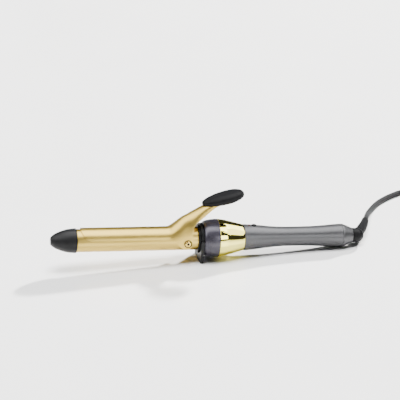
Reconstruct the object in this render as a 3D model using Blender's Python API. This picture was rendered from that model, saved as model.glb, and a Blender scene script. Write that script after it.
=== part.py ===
"""A spring-clip curling iron lying on its stand, with its cord led away and coiled.

Metres, +Z up, floor at Z = 0. The iron lies along X: cool tip towards -X, cord towards +X.
The iron itself is written in its own frame, whose x runs along the barrel's axis from the
tip, y is row Y and z is square to the axis. The empty "iron_axis" carries that frame: it is
pitched so that the stand's foot and the back of the handle both touch the floor.
Lengths of the design are given in millimetres times MM.
"""

import math

import bmesh
import bpy
from mathutils import Matrix, Vector

MM = 0.001
GAP = 0.3 * MM

# Stations along the iron's axis, from the tip
TIP_END = 28.0 * MM
BARREL_START = TIP_END + GAP
BARREL_END = 176.0 * MM
NECK_FRONT = 162.7 * MM
STAND_FRONT = 165.0 * MM
STAND_BACK = 168.5 * MM
BAND_BACK = 214.6 * MM
SHELL_FRONT = BAND_BACK + GAP
CAP_BACK = 340.2 * MM
SWIVEL_FRONT = CAP_BACK + GAP
SWIVEL_CENTRE = 345.9 * MM
ROOT_STATION = 176.35 * MM

# Barrel, clip and pivot
BARREL_R = 12.7 * MM
BARREL_BORE_R = 11.5 * MM
BARREL_FILL_R = BARREL_BORE_R - GAP
BARREL_CLEAR_R = BARREL_R + GAP
CLIP_THICK = 1.0 * MM
CLIP_COLUMNS = 8
PIVOT = Vector((150.6 * MM, 0.0, -1.0 * MM))
PIVOT_HOLE_R = 2.3 * MM
PIVOT_SHANK_R = 2.0 * MM
PIVOT_HEAD_R = 4.1 * MM
EAR_OUTER_Y = 14.2 * MM

# Stand
STAND_PIN = Vector((0.5 * (STAND_FRONT + STAND_BACK), 0.0, 1.0 * MM))
STAND_HALF_THICK = 0.5 * (STAND_BACK - STAND_FRONT)
STAND_ARM_INNER = 15.6 * MM
STAND_ARM_OUTER = 18.0 * MM
FOOT_REACH = 24.0 * MM
NECK_CORE_R = 15.2 * MM
NECK_FLANGE_R = 17.0 * MM
FLANGE_LOW_Z = 3.1 * MM
PIN_R = 0.8 * MM
PIN_HOLE_R = 1.1 * MM

# Handle
SHELL_WALL = 1.8 * MM
SHELL_NECK_R = 12.7 * MM
SEAM_Z = -5.0 * MM
REST_R = 12.8 * MM
REST_STATION = 329.0 * MM
BUTTON_STATION = 226.8 * MM
BUTTON_R = 2.7 * MM
BUTTON_TOP_Z = 15.0 * MM
LENS_STATION = 221.2 * MM
LENS_R = 1.25 * MM
BOSS_STATIONS = (206.0 * MM, 306.0 * MM)
BOARD_START = 214.0 * MM
BOARD_END = 300.0 * MM
BOARD_LOW_Z = 2.0 * MM
BOARD_TOP_Z = 3.4 * MM
LEAD_Y = 4.4 * MM
LEAD_Z = -1.2 * MM

# Thumb rest, in its own frame: along its length, and half width and half thickness
PAD_CENTRE = Vector((189.8 * MM, 0.0, 46.6 * MM))
PAD_SLOPE = math.radians(14.9)
PAD_LENGTH = 48.0 * MM
PAD_SECTION_POWER = 2.5

# Swivel and strain relief
SWIVEL_R = 7.9 * MM
SPINDLE_R = 4.6 * MM
BOOT_ANGLE = math.radians(60.0)
BOOT_SEAT = 5.0 * MM

# Cord, coil and plug, in row coordinates
CORD_R = 3.0 * MM
CORD_CLEAR = 0.5 * MM
COIL_CENTRE = Vector((0.3062, 0.100, 0.0))
COIL_R = 34.9 * MM
COIL_HALF_WIDTH = 9.3 * MM
COIL_HEIGHT = 17.4 * MM
TIE_ANGLE = math.radians(215.0)
TIE_WIDTH = 9.0 * MM
TIE_THICK = 1.0 * MM
PLUG_X = 0.3517
PLUG_REAR_Y = 0.040
PLUG_FRONT_Y = 0.006
PLUG_HEIGHT = 13.7 * MM
PLUG_PIN_HALF_SPACING = 9.3 * MM
PLUG_PIN_R = 2.0 * MM
PLUG_PIN_LENGTH = 19.0 * MM

PITCH = math.atan2(FOOT_REACH - REST_R, REST_STATION - STAND_PIN.x)
AXIS_HEIGHT_AT_TIP = STAND_PIN.x * math.sin(PITCH) + FOOT_REACH * math.cos(PITCH)

# Half section of each turned piece, in millimetres: (station, radius)
TIP_OUTLINE = (
    (0.0, 0.0), (0.0, 4.0), (0.5, 4.7), (1.8, 5.8), (4.6, 7.85), (8.6, 9.75), (12.4, 11.2),
    (16.2, 12.25), (20.0, 12.95), (24.0, 13.4), (27.4, 13.65), (28.0, 13.3), (28.0, 11.2),
    (36.0, 11.2), (36.0, 0.0),
)
COLLAR_OUTLINE = (
    (168.8, 13.1), (168.8, 17.5), (169.6, 18.6), (172.2, 19.6), (176.6, 20.5), (181.0, 21.0),
    (185.5, 21.2), (185.5, 17.2), (170.8, 17.2), (170.8, 13.1),
)
BAND_OUTLINE = (
    (185.8, 21.2), (190.0, 20.7), (194.4, 20.0), (195.4, 19.7), (205.0, 17.2), (214.6, 14.7),
    (214.6, 13.1), (205.0, 15.6), (194.9, 18.2), (185.8, 19.5),
)
SHELL_OUTLINE = (
    (214.9, 14.6), (220.0, 14.35), (226.0, 13.95), (232.0, 13.4), (240.0, 12.5), (249.0, 11.6),
    (259.0, 11.0), (270.0, 10.8), (283.0, 10.85), (296.0, 11.1), (306.5, 11.75), (317.0, 12.5),
    (325.5, 12.9), (327.4, 12.9),
)
CAP_OUTLINE = (
    (327.7, 12.9), (329.0, 12.8), (330.4, 12.3), (339.7, 8.4), (340.2, 7.9), (340.2, 4.9),
    (338.2, 4.9), (338.2, 7.0), (331.0, 10.2), (327.7, 11.1),
)
SPINDLE_OUTLINE = (
    (317.7, 0.0), (317.7, 3.2), (327.2, 3.2), (327.2, 4.6), (335.9, 4.6), (335.9, 6.2),
    (337.9, 6.2), (337.9, 4.6), (343.6, 4.6), (343.6, 0.0),
)

# The pressed clip, in millimetres.
# Arch: station, height of the top line, half width, height where the arch turns straight down
CLIP_ARCH = (
    (20.0, 14.0, 14.0, 0.0),
    (120.0, 14.0, 14.0, 0.0),
    (127.0, 14.0, 14.0, 0.0),
    (131.0, 14.6, 14.0, 0.0),
    (137.0, 19.0, 14.1, 0.0),
    (144.0, 25.0, 14.2, 0.0),
    (151.0, 29.1, 14.2, 0.6),
    (156.0, 32.0, 14.0, 2.6),
    (160.0, 34.3, 13.2, 7.0),
    (165.0, 37.0, 11.4, 14.5),
    (170.0, 39.6, 9.7, 21.5),
    (176.0, 42.0, 8.3, 28.5),
    (184.0, 44.2, 7.2, 34.5),
    (193.0, 46.4, 6.5, 38.5),
    (200.0, 48.0, 6.0, 41.5),
)
# Rows across the sheet: station at the top line, station and height at the sheet's edge
CLIP_ROWS = (
    (32.4, 45.5, 3.7),
    (39.0, 49.0, 3.7),
    (50.0, 54.0, 3.7),
    (88.0, 88.0, 3.7),
    (124.0, 124.0, 3.7),
    (129.5, 131.0, 3.6),
    (133.0, 134.6, 3.0),
    (136.0, 137.2, 1.2),
    (139.0, 139.6, -1.6),
    (141.7, 141.8, -4.5),
    (144.2, 144.2, -6.6),
    (146.6, 146.9, -7.7),
    (149.0, 150.2, -7.9),
    (151.2, 152.8, -6.9),
    (153.0, 154.3, -4.2),
    (154.8, 154.9, 0.6),
    (156.6, 155.3, 7.0),
    (158.6, 156.0, 12.6),
    (160.8, 157.4, 18.2),
    (163.4, 159.9, 21.6),
    (166.6, 163.4, 24.8),
    (170.6, 168.3, 28.5),
    (175.4, 174.4, 33.4),
    (182.0, 181.2, 38.4),
    (189.6, 189.2, 41.4),
)
# Share of the pad's length from its front end, half width, half thickness
PAD_STATIONS = (
    (0.0, 1.8, 1.4),
    (0.03, 3.6, 2.6),
    (0.1, 6.2, 3.8),
    (0.22, 9.2, 4.9),
    (0.38, 11.6, 5.7),
    (0.55, 12.6, 6.0),
    (0.7, 12.3, 5.9),
    (0.84, 10.3, 5.2),
    (0.94, 6.9, 3.9),
    (0.985, 3.5, 2.3),
    (1.0, 1.2, 1.0),
)
# Route of the strain relief in the iron's frame, in millimetres, and its radius
BOOT_ROUTE = (
    (348.55, 4.59, 5.6),
    (350.2, 7.45, 5.6),
    (353.1, 12.5, 5.3),
    (356.5, 18.6, 4.9),
    (360.0, 25.4, 4.5),
    (363.5, 33.0, 4.2),
    (366.5, 40.8, 3.9),
    (367.2, 42.7, 3.7),
)
# Route of the free cord after the strain relief, in row coordinates, in millimetres
CORD_ROUTE = (
    (193.7, 52.5, 9.1),
    (198.6, 65.5, 6.9),
    (204.2, 79.0, 4.7),
    (212.0, 93.5, 3.3),
    (223.6, 109.6, 3.02),
    (239.6, 124.4, 3.02),
    (258.0, 136.0, 3.02),
    (273.6, 142.0, 3.02),
    (286.0, 143.3, 3.02),
)
TAIL_ROUTE = (
    (349.1, 75.0, 3.01),
    (350.1, 70.0, 3.3),
    (351.1, 64.0, 4.6),
    (351.6, 58.0, 6.2),
    (351.7, 53.4, 6.85),
)


def clear_scene():
    for obj in list(bpy.data.objects):
        bpy.data.objects.remove(obj, do_unlink=True)


def make_material(name, colour, roughness, metallic):
    material = bpy.data.materials.new(name)
    material.use_nodes = True
    shader = material.node_tree.nodes["Principled BSDF"]
    shader.inputs["Base Color"].default_value = (*colour, 1.0)
    shader.inputs["Roughness"].default_value = roughness
    shader.inputs["Metallic"].default_value = metallic
    material.diffuse_color = (*colour, 1.0)
    return material


def make_empty(name, location, parent=None):
    empty = bpy.data.objects.new(name, None)
    empty.location = location
    empty.parent = parent
    empty.empty_display_size = 0.01
    bpy.context.scene.collection.objects.link(empty)
    return empty


def finish(name, mesh, material, parent):
    """Makes an object of a mesh that is written in its parent's frame or, for a piece on a
    joint's empty, in the iron's frame."""
    obj = bpy.data.objects.new(name, mesh)
    bpy.context.scene.collection.objects.link(obj)
    if material is not None:
        mesh.materials.append(material)
    mesh.shade_smooth()
    mesh.set_sharp_from_angle(angle=math.radians(32.0))
    if parent is not None:
        obj.parent = parent
        if parent.parent is not None:
            obj.matrix_parent_inverse = Matrix.Translation(-parent.location)
    return obj


def from_bmesh(name, bm, material, parent):
    bmesh.ops.remove_doubles(bm, verts=bm.verts, dist=1e-7)
    bmesh.ops.recalc_face_normals(bm, faces=bm.faces)
    mesh = bpy.data.meshes.new(name)
    bm.to_mesh(mesh)
    bm.free()
    return finish(name, mesh, material, parent)


def turned(name, outline, material, parent, segments=32, y=0.0, z=0.0):
    """Turns a closed half section, (station, radius) in metres, round the line y, z along x."""
    bm = bmesh.new()
    verts = [bm.verts.new((x, y, z + r)) for x, r in outline]
    pairs = list(zip(verts, verts[1:]))
    if outline[0][1] > 0.0:
        pairs.append((verts[-1], verts[0]))
    edges = [bm.edges.new(pair) for pair in pairs]
    bmesh.ops.spin(
        bm, geom=verts + edges, cent=(0.0, y, z), axis=(1.0, 0.0, 0.0),
        angle=2.0 * math.pi, steps=segments, use_merge=True,
    )
    return from_bmesh(name, bm, material, parent)


def in_metres(outline):
    return [tuple(value * MM for value in point) for point in outline]


def rod(name, start, end, radius, material, parent, segments=16):
    """A round bar between two points."""
    start = Vector(start)
    along = Vector(end) - start
    turn = along.to_track_quat("Z", "Y").to_matrix().to_4x4()
    bm = bmesh.new()
    bmesh.ops.create_cone(
        bm, cap_ends=True, segments=segments, radius1=radius, radius2=radius,
        depth=along.length, matrix=Matrix.Translation(start + 0.5 * along) @ turn,
    )
    return from_bmesh(name, bm, material, parent)


def block(name, low, high, material, parent, bevel=0.0):
    low = Vector(low)
    high = Vector(high)
    size = high - low
    bm = bmesh.new()
    bmesh.ops.create_cube(
        bm, size=1.0, matrix=Matrix.Translation(0.5 * (low + high)) @ Matrix.Diagonal((*size, 1.0))
    )
    if bevel > 0.0:
        bmesh.ops.bevel(
            bm, geom=bm.edges[:], offset=bevel, segments=1, affect="EDGES", profile=0.5
        )
    return from_bmesh(name, bm, material, parent)


def prism(name, outline, start, end, material, parent):
    """Extrudes an outline of (y, z) points along x."""
    bm = bmesh.new()
    face = bm.faces.new([bm.verts.new((start, y, z)) for y, z in outline])
    out = bmesh.ops.extrude_face_region(bm, geom=[face])
    moved = [item for item in out["geom"] if isinstance(item, bmesh.types.BMVert)]
    bmesh.ops.translate(bm, verts=moved, vec=(end - start, 0.0, 0.0))
    return from_bmesh(name, bm, material, parent)


def loft(name, rings, material, parent):
    """Joins rings of equally many points into one closed skin with flat ends."""
    bm = bmesh.new()
    rows = [[bm.verts.new(point) for point in ring] for ring in rings]
    count = len(rows[0])
    for row, after in zip(rows, rows[1:]):
        for k in range(count):
            nxt = (k + 1) % count
            bm.faces.new((row[k], row[nxt], after[nxt], after[k]))
    bm.faces.new(rows[0])
    bm.faces.new(rows[-1])
    return from_bmesh(name, bm, material, parent)


def combine(target, tool, operation):
    """Adds a Boolean to target and turns the tool into a guide that is not built."""
    modifier = target.modifiers.new(operation.lower(), "BOOLEAN")
    modifier.operation = operation
    modifier.solver = "EXACT"
    modifier.object = tool
    tool.hide_render = True
    tool.display_type = "WIRE"


def cut(target, tool):
    combine(target, tool, "DIFFERENCE")


def unite(target, tool):
    combine(target, tool, "UNION")


def through(table, at):
    """Reads a table of rows (position, values...) along a smooth curve through its rows."""
    keys = [row[0] for row in table]
    k = max(i for i in range(len(keys) - 1) if keys[i] <= at or i == 0)
    before = table[max(k - 1, 0)]
    low = table[k]
    high = table[k + 1]
    after = table[min(k + 2, len(table) - 1)]
    span = high[0] - low[0]
    t = (at - low[0]) / span
    values = []
    for i in range(1, len(low)):
        start = (high[i] - before[i]) / max(high[0] - before[0], 1e-9) * span
        end = (after[i] - low[i]) / max(after[0] - low[0], 1e-9) * span
        values.append(
            (2 * t**3 - 3 * t**2 + 1) * low[i] + (t**3 - 2 * t**2 + t) * start
            + (3 * t**2 - 2 * t**3) * high[i] + (t**3 - t**2) * end
        )
    return values


def smooth_route(points, spacing):
    """Points at an even spacing along a smooth curve through hand-placed points, in metres."""
    points = [Vector(p) for p in points]
    dense = []
    for k in range(len(points) - 1):
        before = points[max(k - 1, 0)]
        low = points[k]
        high = points[k + 1]
        after = points[min(k + 2, len(points) - 1)]
        for step in range(12):
            t = step / 12
            dense.append(
                low * (2 * t**3 - 3 * t**2 + 1) + (high - before) * 0.5 * (t**3 - 2 * t**2 + t)
                + high * (3 * t**2 - 2 * t**3) + (after - low) * 0.5 * (t**3 - t**2)
            )
    dense.append(points[-1])
    lengths = [0.0]
    for a, b in zip(dense, dense[1:]):
        lengths.append(lengths[-1] + (b - a).length)
    count = max(2, round(lengths[-1] / spacing))
    route = []
    k = 0
    for i in range(count + 1):
        want = lengths[-1] * i / count
        while k < len(lengths) - 2 and lengths[k + 1] < want:
            k += 1
        share = (want - lengths[k]) / max(lengths[k + 1] - lengths[k], 1e-12)
        route.append(dense[k].lerp(dense[k + 1], share))
    return route


def tube(name, route, radius, material, sides_resolution=2):
    """A closed round tube along a route in row coordinates."""
    curve = bpy.data.curves.new(name, "CURVE")
    curve.dimensions = "3D"
    curve.bevel_depth = radius
    curve.bevel_resolution = sides_resolution
    curve.render_resolution_u = 0
    curve.use_fill_caps = True
    spline = curve.splines.new("POLY")
    spline.points.add(len(route) - 1)
    for point, place in zip(spline.points, route):
        point.co = (*place, 1.0)
    curve.materials.append(material)
    obj = bpy.data.objects.new(name, curve)
    bpy.context.scene.collection.objects.link(obj)
    return obj


# ---------------------------------------------------------------- heater and barrel


def build_barrel(iron, paint):
    tube_outline = (
        (BARREL_START, BARREL_BORE_R), (BARREL_START, BARREL_R), (BARREL_END, BARREL_R),
        (BARREL_END, BARREL_BORE_R),
    )
    barrel = turned("barrel_tube", tube_outline, paint["satin_gold"], iron)
    hole = rod(
        "cut_barrel_pivot", PIVOT - Vector((0, 20 * MM, 0)), PIVOT + Vector((0, 20 * MM, 0)),
        PIVOT_HOLE_R, None, iron,
    )
    cut(barrel, hole)
    turned("cool_tip", in_metres(TIP_OUTLINE), paint["black_plastic"], iron)
    rod(
        "tip_insulator", (36.3 * MM, 0, 0), (38.3 * MM, 0, 0), BARREL_FILL_R, paint["mica"], iron,
        segments=24,
    )


def build_heater(iron, paint):
    start = 40.0 * MM
    end = 140.0 * MM
    plate_half = 1.3 * MM
    seat = plate_half + GAP
    upper = rod(
        "heater_block_upper", (start, 0, 0), (end, 0, 0), BARREL_FILL_R, paint["aluminium"], iron,
        segments=24,
    )
    reach = 15.0 * MM
    below = block(
        "cut_upper_block", (start - GAP, -reach, -reach), (end + GAP, reach, seat), None, iron
    )
    cut(upper, below)
    lower = rod(
        "heater_block_lower", (start, 0, 0), (end, 0, 0), BARREL_FILL_R, paint["aluminium"], iron,
        segments=24,
    )
    above = block(
        "cut_lower_block", (start - GAP, -reach, -seat), (end + GAP, reach, reach), None, iron
    )
    cut(lower, above)
    flat = block(
        "cut_lower_flat", (start - GAP, -reach, -reach), (end + GAP, reach, -8.4 * MM), None, iron
    )
    cut(lower, flat)
    half = 0.5 * (start + end)
    for name, low, high in (
        ("ptc_plate_front", start + 4 * MM, half - 1 * MM),
        ("ptc_plate_rear", half + 1 * MM, end - 4 * MM),
    ):
        block(
            name, (low, -7.5 * MM, -plate_half), (high, 7.5 * MM, plate_half), paint["ceramic"],
            iron,
        )
    build_leaf_spring(iron, paint, start + 8 * MM, end - 8 * MM)
    turned_pair = ((141.0, 0.0), (141.0, 1.5), (144.0, 1.5), (144.0, 0.0))
    turned(
        "temperature_sensor", in_metres(turned_pair), paint["ceramic"], iron, segments=12,
        y=3.9 * MM, z=4.0 * MM,
    )
    fuse = (
        (140.6, 0.0), (140.6, 0.5), (158.0, 0.5), (158.0, 2.0), (170.0, 2.0), (170.0, 0.0),
    )
    turned(
        "thermal_fuse", in_metres(fuse), paint["steel"], iron, segments=12, y=LEAD_Y, z=LEAD_Z
    )


def build_leaf_spring(iron, paint, start, end):
    """A bowed strip that presses the heater blocks together."""
    half_width = 3.0 * MM
    thick = 0.4 * MM
    count = 9
    rings = []
    for k in range(count):
        share = k / (count - 1)
        x = start + (end - start) * share
        z = -8.9 * MM - 1.0 * MM * math.sin(math.pi * share)
        rings.append(
            [
                (x, -half_width, z - thick), (x, half_width, z - thick),
                (x, half_width, z), (x, -half_width, z),
            ]
        )
    loft("heater_leaf_spring", rings, paint["steel"], iron)


def build_pivot(iron, paint):
    start = PIVOT.x - 5.0 * MM
    end = PIVOT.x + 5.0 * MM
    holder = rod(
        "pivot_block", (start, 0, 0), (end, 0, 0), BARREL_FILL_R, paint["steel"], iron,
        segments=24,
    )
    window = block(
        "cut_pivot_window", (start - GAP, -6 * MM, -4 * MM), (end + GAP, 6 * MM, 7.5 * MM), None,
        iron, bevel=0.2 * MM,
    )
    cut(holder, window)
    bore = rod(
        "cut_pivot_bore", PIVOT - Vector((0, 12 * MM, 0)), PIVOT + Vector((0, 12 * MM, 0)),
        PIVOT_HOLE_R, None, iron,
    )
    cut(holder, bore)
    for name, side in (("pivot_screw_left", -1.0), ("pivot_screw_right", 1.0)):
        build_pivot_screw(iron, paint, name, side)


def build_pivot_screw(iron, paint, name, side):
    """A shoulder screw with a raised, dished head outside the clip's ear."""
    seat = EAR_OUTER_Y + GAP
    outline = (
        (6.6 * MM, 0.0), (6.6 * MM, PIVOT_SHANK_R), (seat, PIVOT_SHANK_R), (seat, PIVOT_HEAD_R),
        (seat + 1.0 * MM, PIVOT_HEAD_R), (seat + 1.5 * MM, PIVOT_HEAD_R - 0.6 * MM),
        (seat + 1.5 * MM, 1.5 * MM), (seat + 0.9 * MM, 1.2 * MM), (seat + 0.9 * MM, 0.0),
    )
    bm = bmesh.new()
    verts = [bm.verts.new((PIVOT.x, side * y, PIVOT.z + r)) for y, r in outline]
    edges = [bm.edges.new(pair) for pair in zip(verts, verts[1:])]
    bmesh.ops.spin(
        bm, geom=verts + edges, cent=PIVOT, axis=(0.0, 1.0, 0.0), angle=2.0 * math.pi, steps=20,
        use_merge=True,
    )
    from_bmesh(name, bm, paint["polished_steel"], iron)


# ---------------------------------------------------------------- clip and thumb rest


def clip_point(station, turn):
    """A point of the sheet's outer side. turn runs over the arch up to a right angle, and
    further on straight down the ear. Millimetres in, metres out, for the +Y side."""
    top, half_width, spring = through(CLIP_ARCH, station)
    quarter = 0.5 * math.pi
    if turn <= quarter:
        y = half_width * math.sin(turn)
        z = spring + (top - spring) * math.cos(turn)
    else:
        y = half_width
        z = spring - half_width * (turn - quarter)
    return Vector((station * MM, y * MM, z * MM))


def edge_turn(station, height):
    """The turn at which the sheet's outer side reaches a height."""
    top, half_width, spring = through(CLIP_ARCH, station)
    if height >= spring:
        return math.acos((height - spring) / (top - spring))
    return 0.5 * math.pi + (spring - height) / half_width


def clip_rows(columns):
    rows = []
    for k, (top_station, edge_station, edge_height) in enumerate(CLIP_ROWS):
        last = edge_turn(edge_station, edge_height)
        row = []
        for column in range(-columns, columns + 1):
            share = abs(column) / columns
            lead = 1.0 - math.sqrt(1.0 - min(share, 0.999) ** 2) if k == 0 else share**2
            station = top_station + (edge_station - top_station) * lead
            point = clip_point(station, last * share)
            if column < 0:
                point.y = -point.y
            row.append(point)
        rows.append(row)
    return rows


def build_clip(pivot_empty, iron, paint):
    bm = bmesh.new()
    grid = [[bm.verts.new(point) for point in row] for row in clip_rows(CLIP_COLUMNS)]
    for row, after in zip(grid, grid[1:]):
        for k in range(len(row) - 1):
            bm.faces.new((row[k], after[k], after[k + 1], row[k + 1]))
    bm.normal_update()
    mesh = bpy.data.meshes.new("clip")
    bm.to_mesh(mesh)
    bm.free()
    clip = finish("clip", mesh, paint["satin_gold"], pivot_empty)
    wall = clip.modifiers.new("sheet", "SOLIDIFY")
    wall.thickness = CLIP_THICK
    wall.offset = -1.0
    wall.use_even_offset = True
    hole = rod(
        "cut_clip_pivot", PIVOT - Vector((0, 20 * MM, 0)), PIVOT + Vector((0, 20 * MM, 0)),
        PIVOT_HOLE_R, None, iron,
    )
    cut(clip, hole)
    screw_hole = rod(
        "cut_clip_pad_screw", pad_point(-6 * MM, 0.0, -9 * MM), pad_point(-6 * MM, 0.0, 3 * MM),
        1.5 * MM, None, iron, segments=12,
    )
    cut(clip, screw_hole)


def pad_point(along, across, up):
    """A point of the thumb rest's own frame, in the iron's frame."""
    c = math.cos(PAD_SLOPE)
    s = math.sin(PAD_SLOPE)
    return PAD_CENTRE + Vector((along * c - up * s, across, along * s + up * c))


def pad_rings(sides):
    rings = []
    for share, half_width, half_thick in PAD_STATIONS:
        along = (share - 0.5) * PAD_LENGTH
        ring = []
        for k in range(sides):
            turn = 2.0 * math.pi * k / sides
            c = math.cos(turn)
            s = math.sin(turn)
            power = 2.0 / PAD_SECTION_POWER
            across = math.copysign(abs(c) ** power, c) * half_width * MM
            up = math.copysign(abs(s) ** power, s) * half_thick * MM
            ring.append(pad_point(along, across, up))
        rings.append(ring)
    return rings


def build_thumb_rest(pivot_empty, iron, paint):
    pad = loft("thumb_rest", pad_rings(24), paint["black_plastic"], pivot_empty)
    cut(pad, build_tongue_space(iron))
    hole = rod(
        "cut_pad_screw", pad_point(-6 * MM, 0.0, -9 * MM), pad_point(-6 * MM, 0.0, 2.4 * MM),
        1.4 * MM, None, iron, segments=12,
    )
    cut(pad, hole)
    build_pad_screw(pivot_empty, paint)


def build_tongue_space(iron):
    """The room for the end of the lever arm in the underside of the thumb rest."""
    count = 8
    rings = []
    for k in range(9):
        station = 163.4 + 27.0 * k / 8
        top, half_width, spring = through(CLIP_ARCH, station)
        deep = spring - 14.0
        half = half_width + 0.35
        ring = [(station * MM, -half * MM, deep * MM)]
        for column in range(-count, count + 1):
            turn = 0.5 * math.pi * column / count
            z = spring + (top + 0.35 - spring) * math.cos(turn)
            ring.append((station * MM, half * math.sin(turn) * MM, z * MM))
        ring.append((station * MM, half * MM, deep * MM))
        rings.append(ring)
    return loft("cut_tongue_space", rings, None, iron)


def build_pad_screw(pivot_empty, paint):
    """The screw that holds the thumb rest, driven from under the arched lever arm."""
    top = through(CLIP_ARCH, 184.0)[0] * MM
    foot = pad_point(-6 * MM, 0.0, 0.0)
    arch_drop = 0.6 * MM
    under = (top - CLIP_THICK - foot.z) * math.cos(PAD_SLOPE) - GAP - arch_drop
    head_low = pad_point(-6 * MM, 0.0, under - 1.3 * MM)
    head_high = pad_point(-6 * MM, 0.0, under)
    screw = rod(
        "thumb_rest_screw", head_low, head_high, 2.3 * MM, paint["steel"], pivot_empty,
        segments=14,
    )
    shank = rod(
        "join_pad_screw_shank", pad_point(-6 * MM, 0.0, under - 0.6 * MM),
        pad_point(-6 * MM, 0.0, 2.0 * MM), 1.05 * MM, None, pivot_empty, segments=12,
    )
    unite(screw, shank)


def build_clip_spring(iron, paint):
    """A folded leaf spring: one leg on the barrel, the other under the lever arm."""
    half_width = 3.0 * MM
    thick = 0.5 * MM
    low_z = 13.05
    path = [(160.8, low_z), (150.0, low_z), (143.0, low_z), (140.2, low_z + 0.15)]
    fold_x = 140.2
    fold_r = 0.9
    for k in range(1, 6):
        turn = math.radians(-90.0 - 40.0 * k)
        path.append(
            (fold_x + fold_r * math.cos(turn), low_z + 0.15 + fold_r + fold_r * math.sin(turn))
        )
    path += [(144.0, 18.6), (150.0, 24.4), (155.0, 28.6), (157.8, 30.6)]
    rings = []
    for k, (x, z) in enumerate(path):
        ahead = Vector(path[min(k + 1, len(path) - 1)])
        behind = Vector(path[max(k - 1, 0)])
        along = (ahead - behind).normalized()
        side = Vector((along.y, -along.x)) * thick
        inner = (x * MM + side.x, z * MM + side.y)
        rings.append(
            [
                (x * MM, -half_width, z * MM), (x * MM, half_width, z * MM),
                (inner[0], half_width, inner[1]), (inner[0], -half_width, inner[1]),
            ]
        )
    loft("clip_spring", rings, paint["steel"], iron)


# ---------------------------------------------------------------- neck, stand and collar


def build_neck(iron, paint):
    core = (
        (NECK_FRONT, BARREL_CLEAR_R), (NECK_FRONT, NECK_CORE_R - 0.5 * MM),
        (NECK_FRONT + 0.5 * MM, NECK_CORE_R), (STAND_BACK, NECK_CORE_R),
        (STAND_BACK, BARREL_CLEAR_R),
    )
    neck = turned("neck_ring", core, paint["black_plastic"], iron)
    start = math.asin(FLANGE_LOW_Z / NECK_FLANGE_R)
    steps = 24
    outline = []
    for k in range(steps + 1):
        turn = start + (math.pi - 2 * start) * k / steps
        outline.append((NECK_FLANGE_R * math.cos(turn), NECK_FLANGE_R * math.sin(turn)))
    flange = prism("join_neck_flange", outline, STAND_FRONT, STAND_BACK, None, iron)
    unite(neck, flange)
    bore = rod(
        "cut_neck_bore", (NECK_FRONT - 1 * MM, 0, 0), (STAND_BACK + 1 * MM, 0, 0),
        BARREL_CLEAR_R, None, iron, segments=32,
    )
    cut(neck, bore)
    reach = Vector((0.0, 17.8 * MM, 0.0))
    pin_hole = rod(
        "cut_stand_pins", STAND_PIN - reach, STAND_PIN + reach, PIN_HOLE_R, None, iron,
        segments=12,
    )
    cut(neck, pin_hole)
    for name, side in (("stand_pin_left", -1.0), ("stand_pin_right", 1.0)):
        rod(
            name, STAND_PIN + Vector((0, side * 13.2 * MM, 0)),
            STAND_PIN + Vector((0, side * 17.5 * MM, 0)), PIN_R, paint["steel"], iron,
            segments=12,
        )
    return pin_hole


def stand_outline():
    """The stand seen along the barrel: two arms and the foot between them."""
    hollow_top = -1.0 * MM
    right = [
        (STAND_ARM_OUTER, STAND_PIN.z), (STAND_ARM_OUTER, -6.0 * MM), (17.5 * MM, -14.0 * MM),
        (16.5 * MM, -20.5 * MM), (15.6 * MM, -24.0 * MM), (15.3 * MM, -25.5 * MM),
    ]
    inner = [(STAND_ARM_INNER, STAND_PIN.z)]
    for k in range(10):
        turn = math.radians(10.0 * k)
        inner.append(
            (STAND_ARM_INNER * math.cos(turn), hollow_top - STAND_ARM_INNER * math.sin(turn))
        )
    left = [(-y, z) for y, z in reversed(right)]
    left_inner = [(-y, z) for y, z in inner]
    return right + left + left_inner + inner[-2::-1]


def build_stand(stand_empty, iron, pin_hole, paint):
    stand = prism(
        "stand", stand_outline(), STAND_FRONT, STAND_BACK, paint["black_plastic"], stand_empty
    )
    inset = 0.05 * MM
    for name, side in (("left", -1.0), ("right", 1.0)):
        knuckle = rod(
            f"join_stand_knuckle_{name}",
            STAND_PIN + Vector((0, side * (STAND_ARM_INNER + inset), 0)),
            STAND_PIN + Vector((0, side * (STAND_ARM_OUTER - inset), 0)),
            STAND_HALF_THICK - inset, None, iron, segments=20,
        )
        unite(stand, knuckle)
    cut(stand, pin_hole)
    floor = block("cut_stand_floor", (-0.1, -0.1, -0.05), (0.1, 0.1, 0.0), None, None)
    cut(stand, floor)


def build_collar(iron, paint):
    turned("collar", in_metres(COLLAR_OUTLINE), paint["dark_grey"], iron)
    turned("gold_band", in_metres(BAND_OUTLINE), paint["mirror_gold"], iron)
    mount = (
        (171.1 * MM, BARREL_CLEAR_R), (171.1 * MM, 16.8 * MM), (184.6 * MM, 16.8 * MM),
        (184.6 * MM, 11.5 * MM), (176.4 * MM, 11.5 * MM), (176.4 * MM, BARREL_CLEAR_R),
    )
    turned("barrel_mount", mount, paint["heat_plastic"], iron)


# ---------------------------------------------------------------- handle


def shell_section():
    """The closed half section of the handle's two shells."""
    neck_bore = SHELL_NECK_R - SHELL_WALL
    outer = in_metres(SHELL_OUTLINE)
    front = [
        (186.2 * MM, neck_bore), (186.2 * MM, SHELL_NECK_R), (SHELL_FRONT, SHELL_NECK_R),
    ]
    inner = [(x, r - SHELL_WALL) for x, r in reversed(outer) if x > 219 * MM]
    return front + outer + inner + [(217.0 * MM, neck_bore)]


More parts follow.
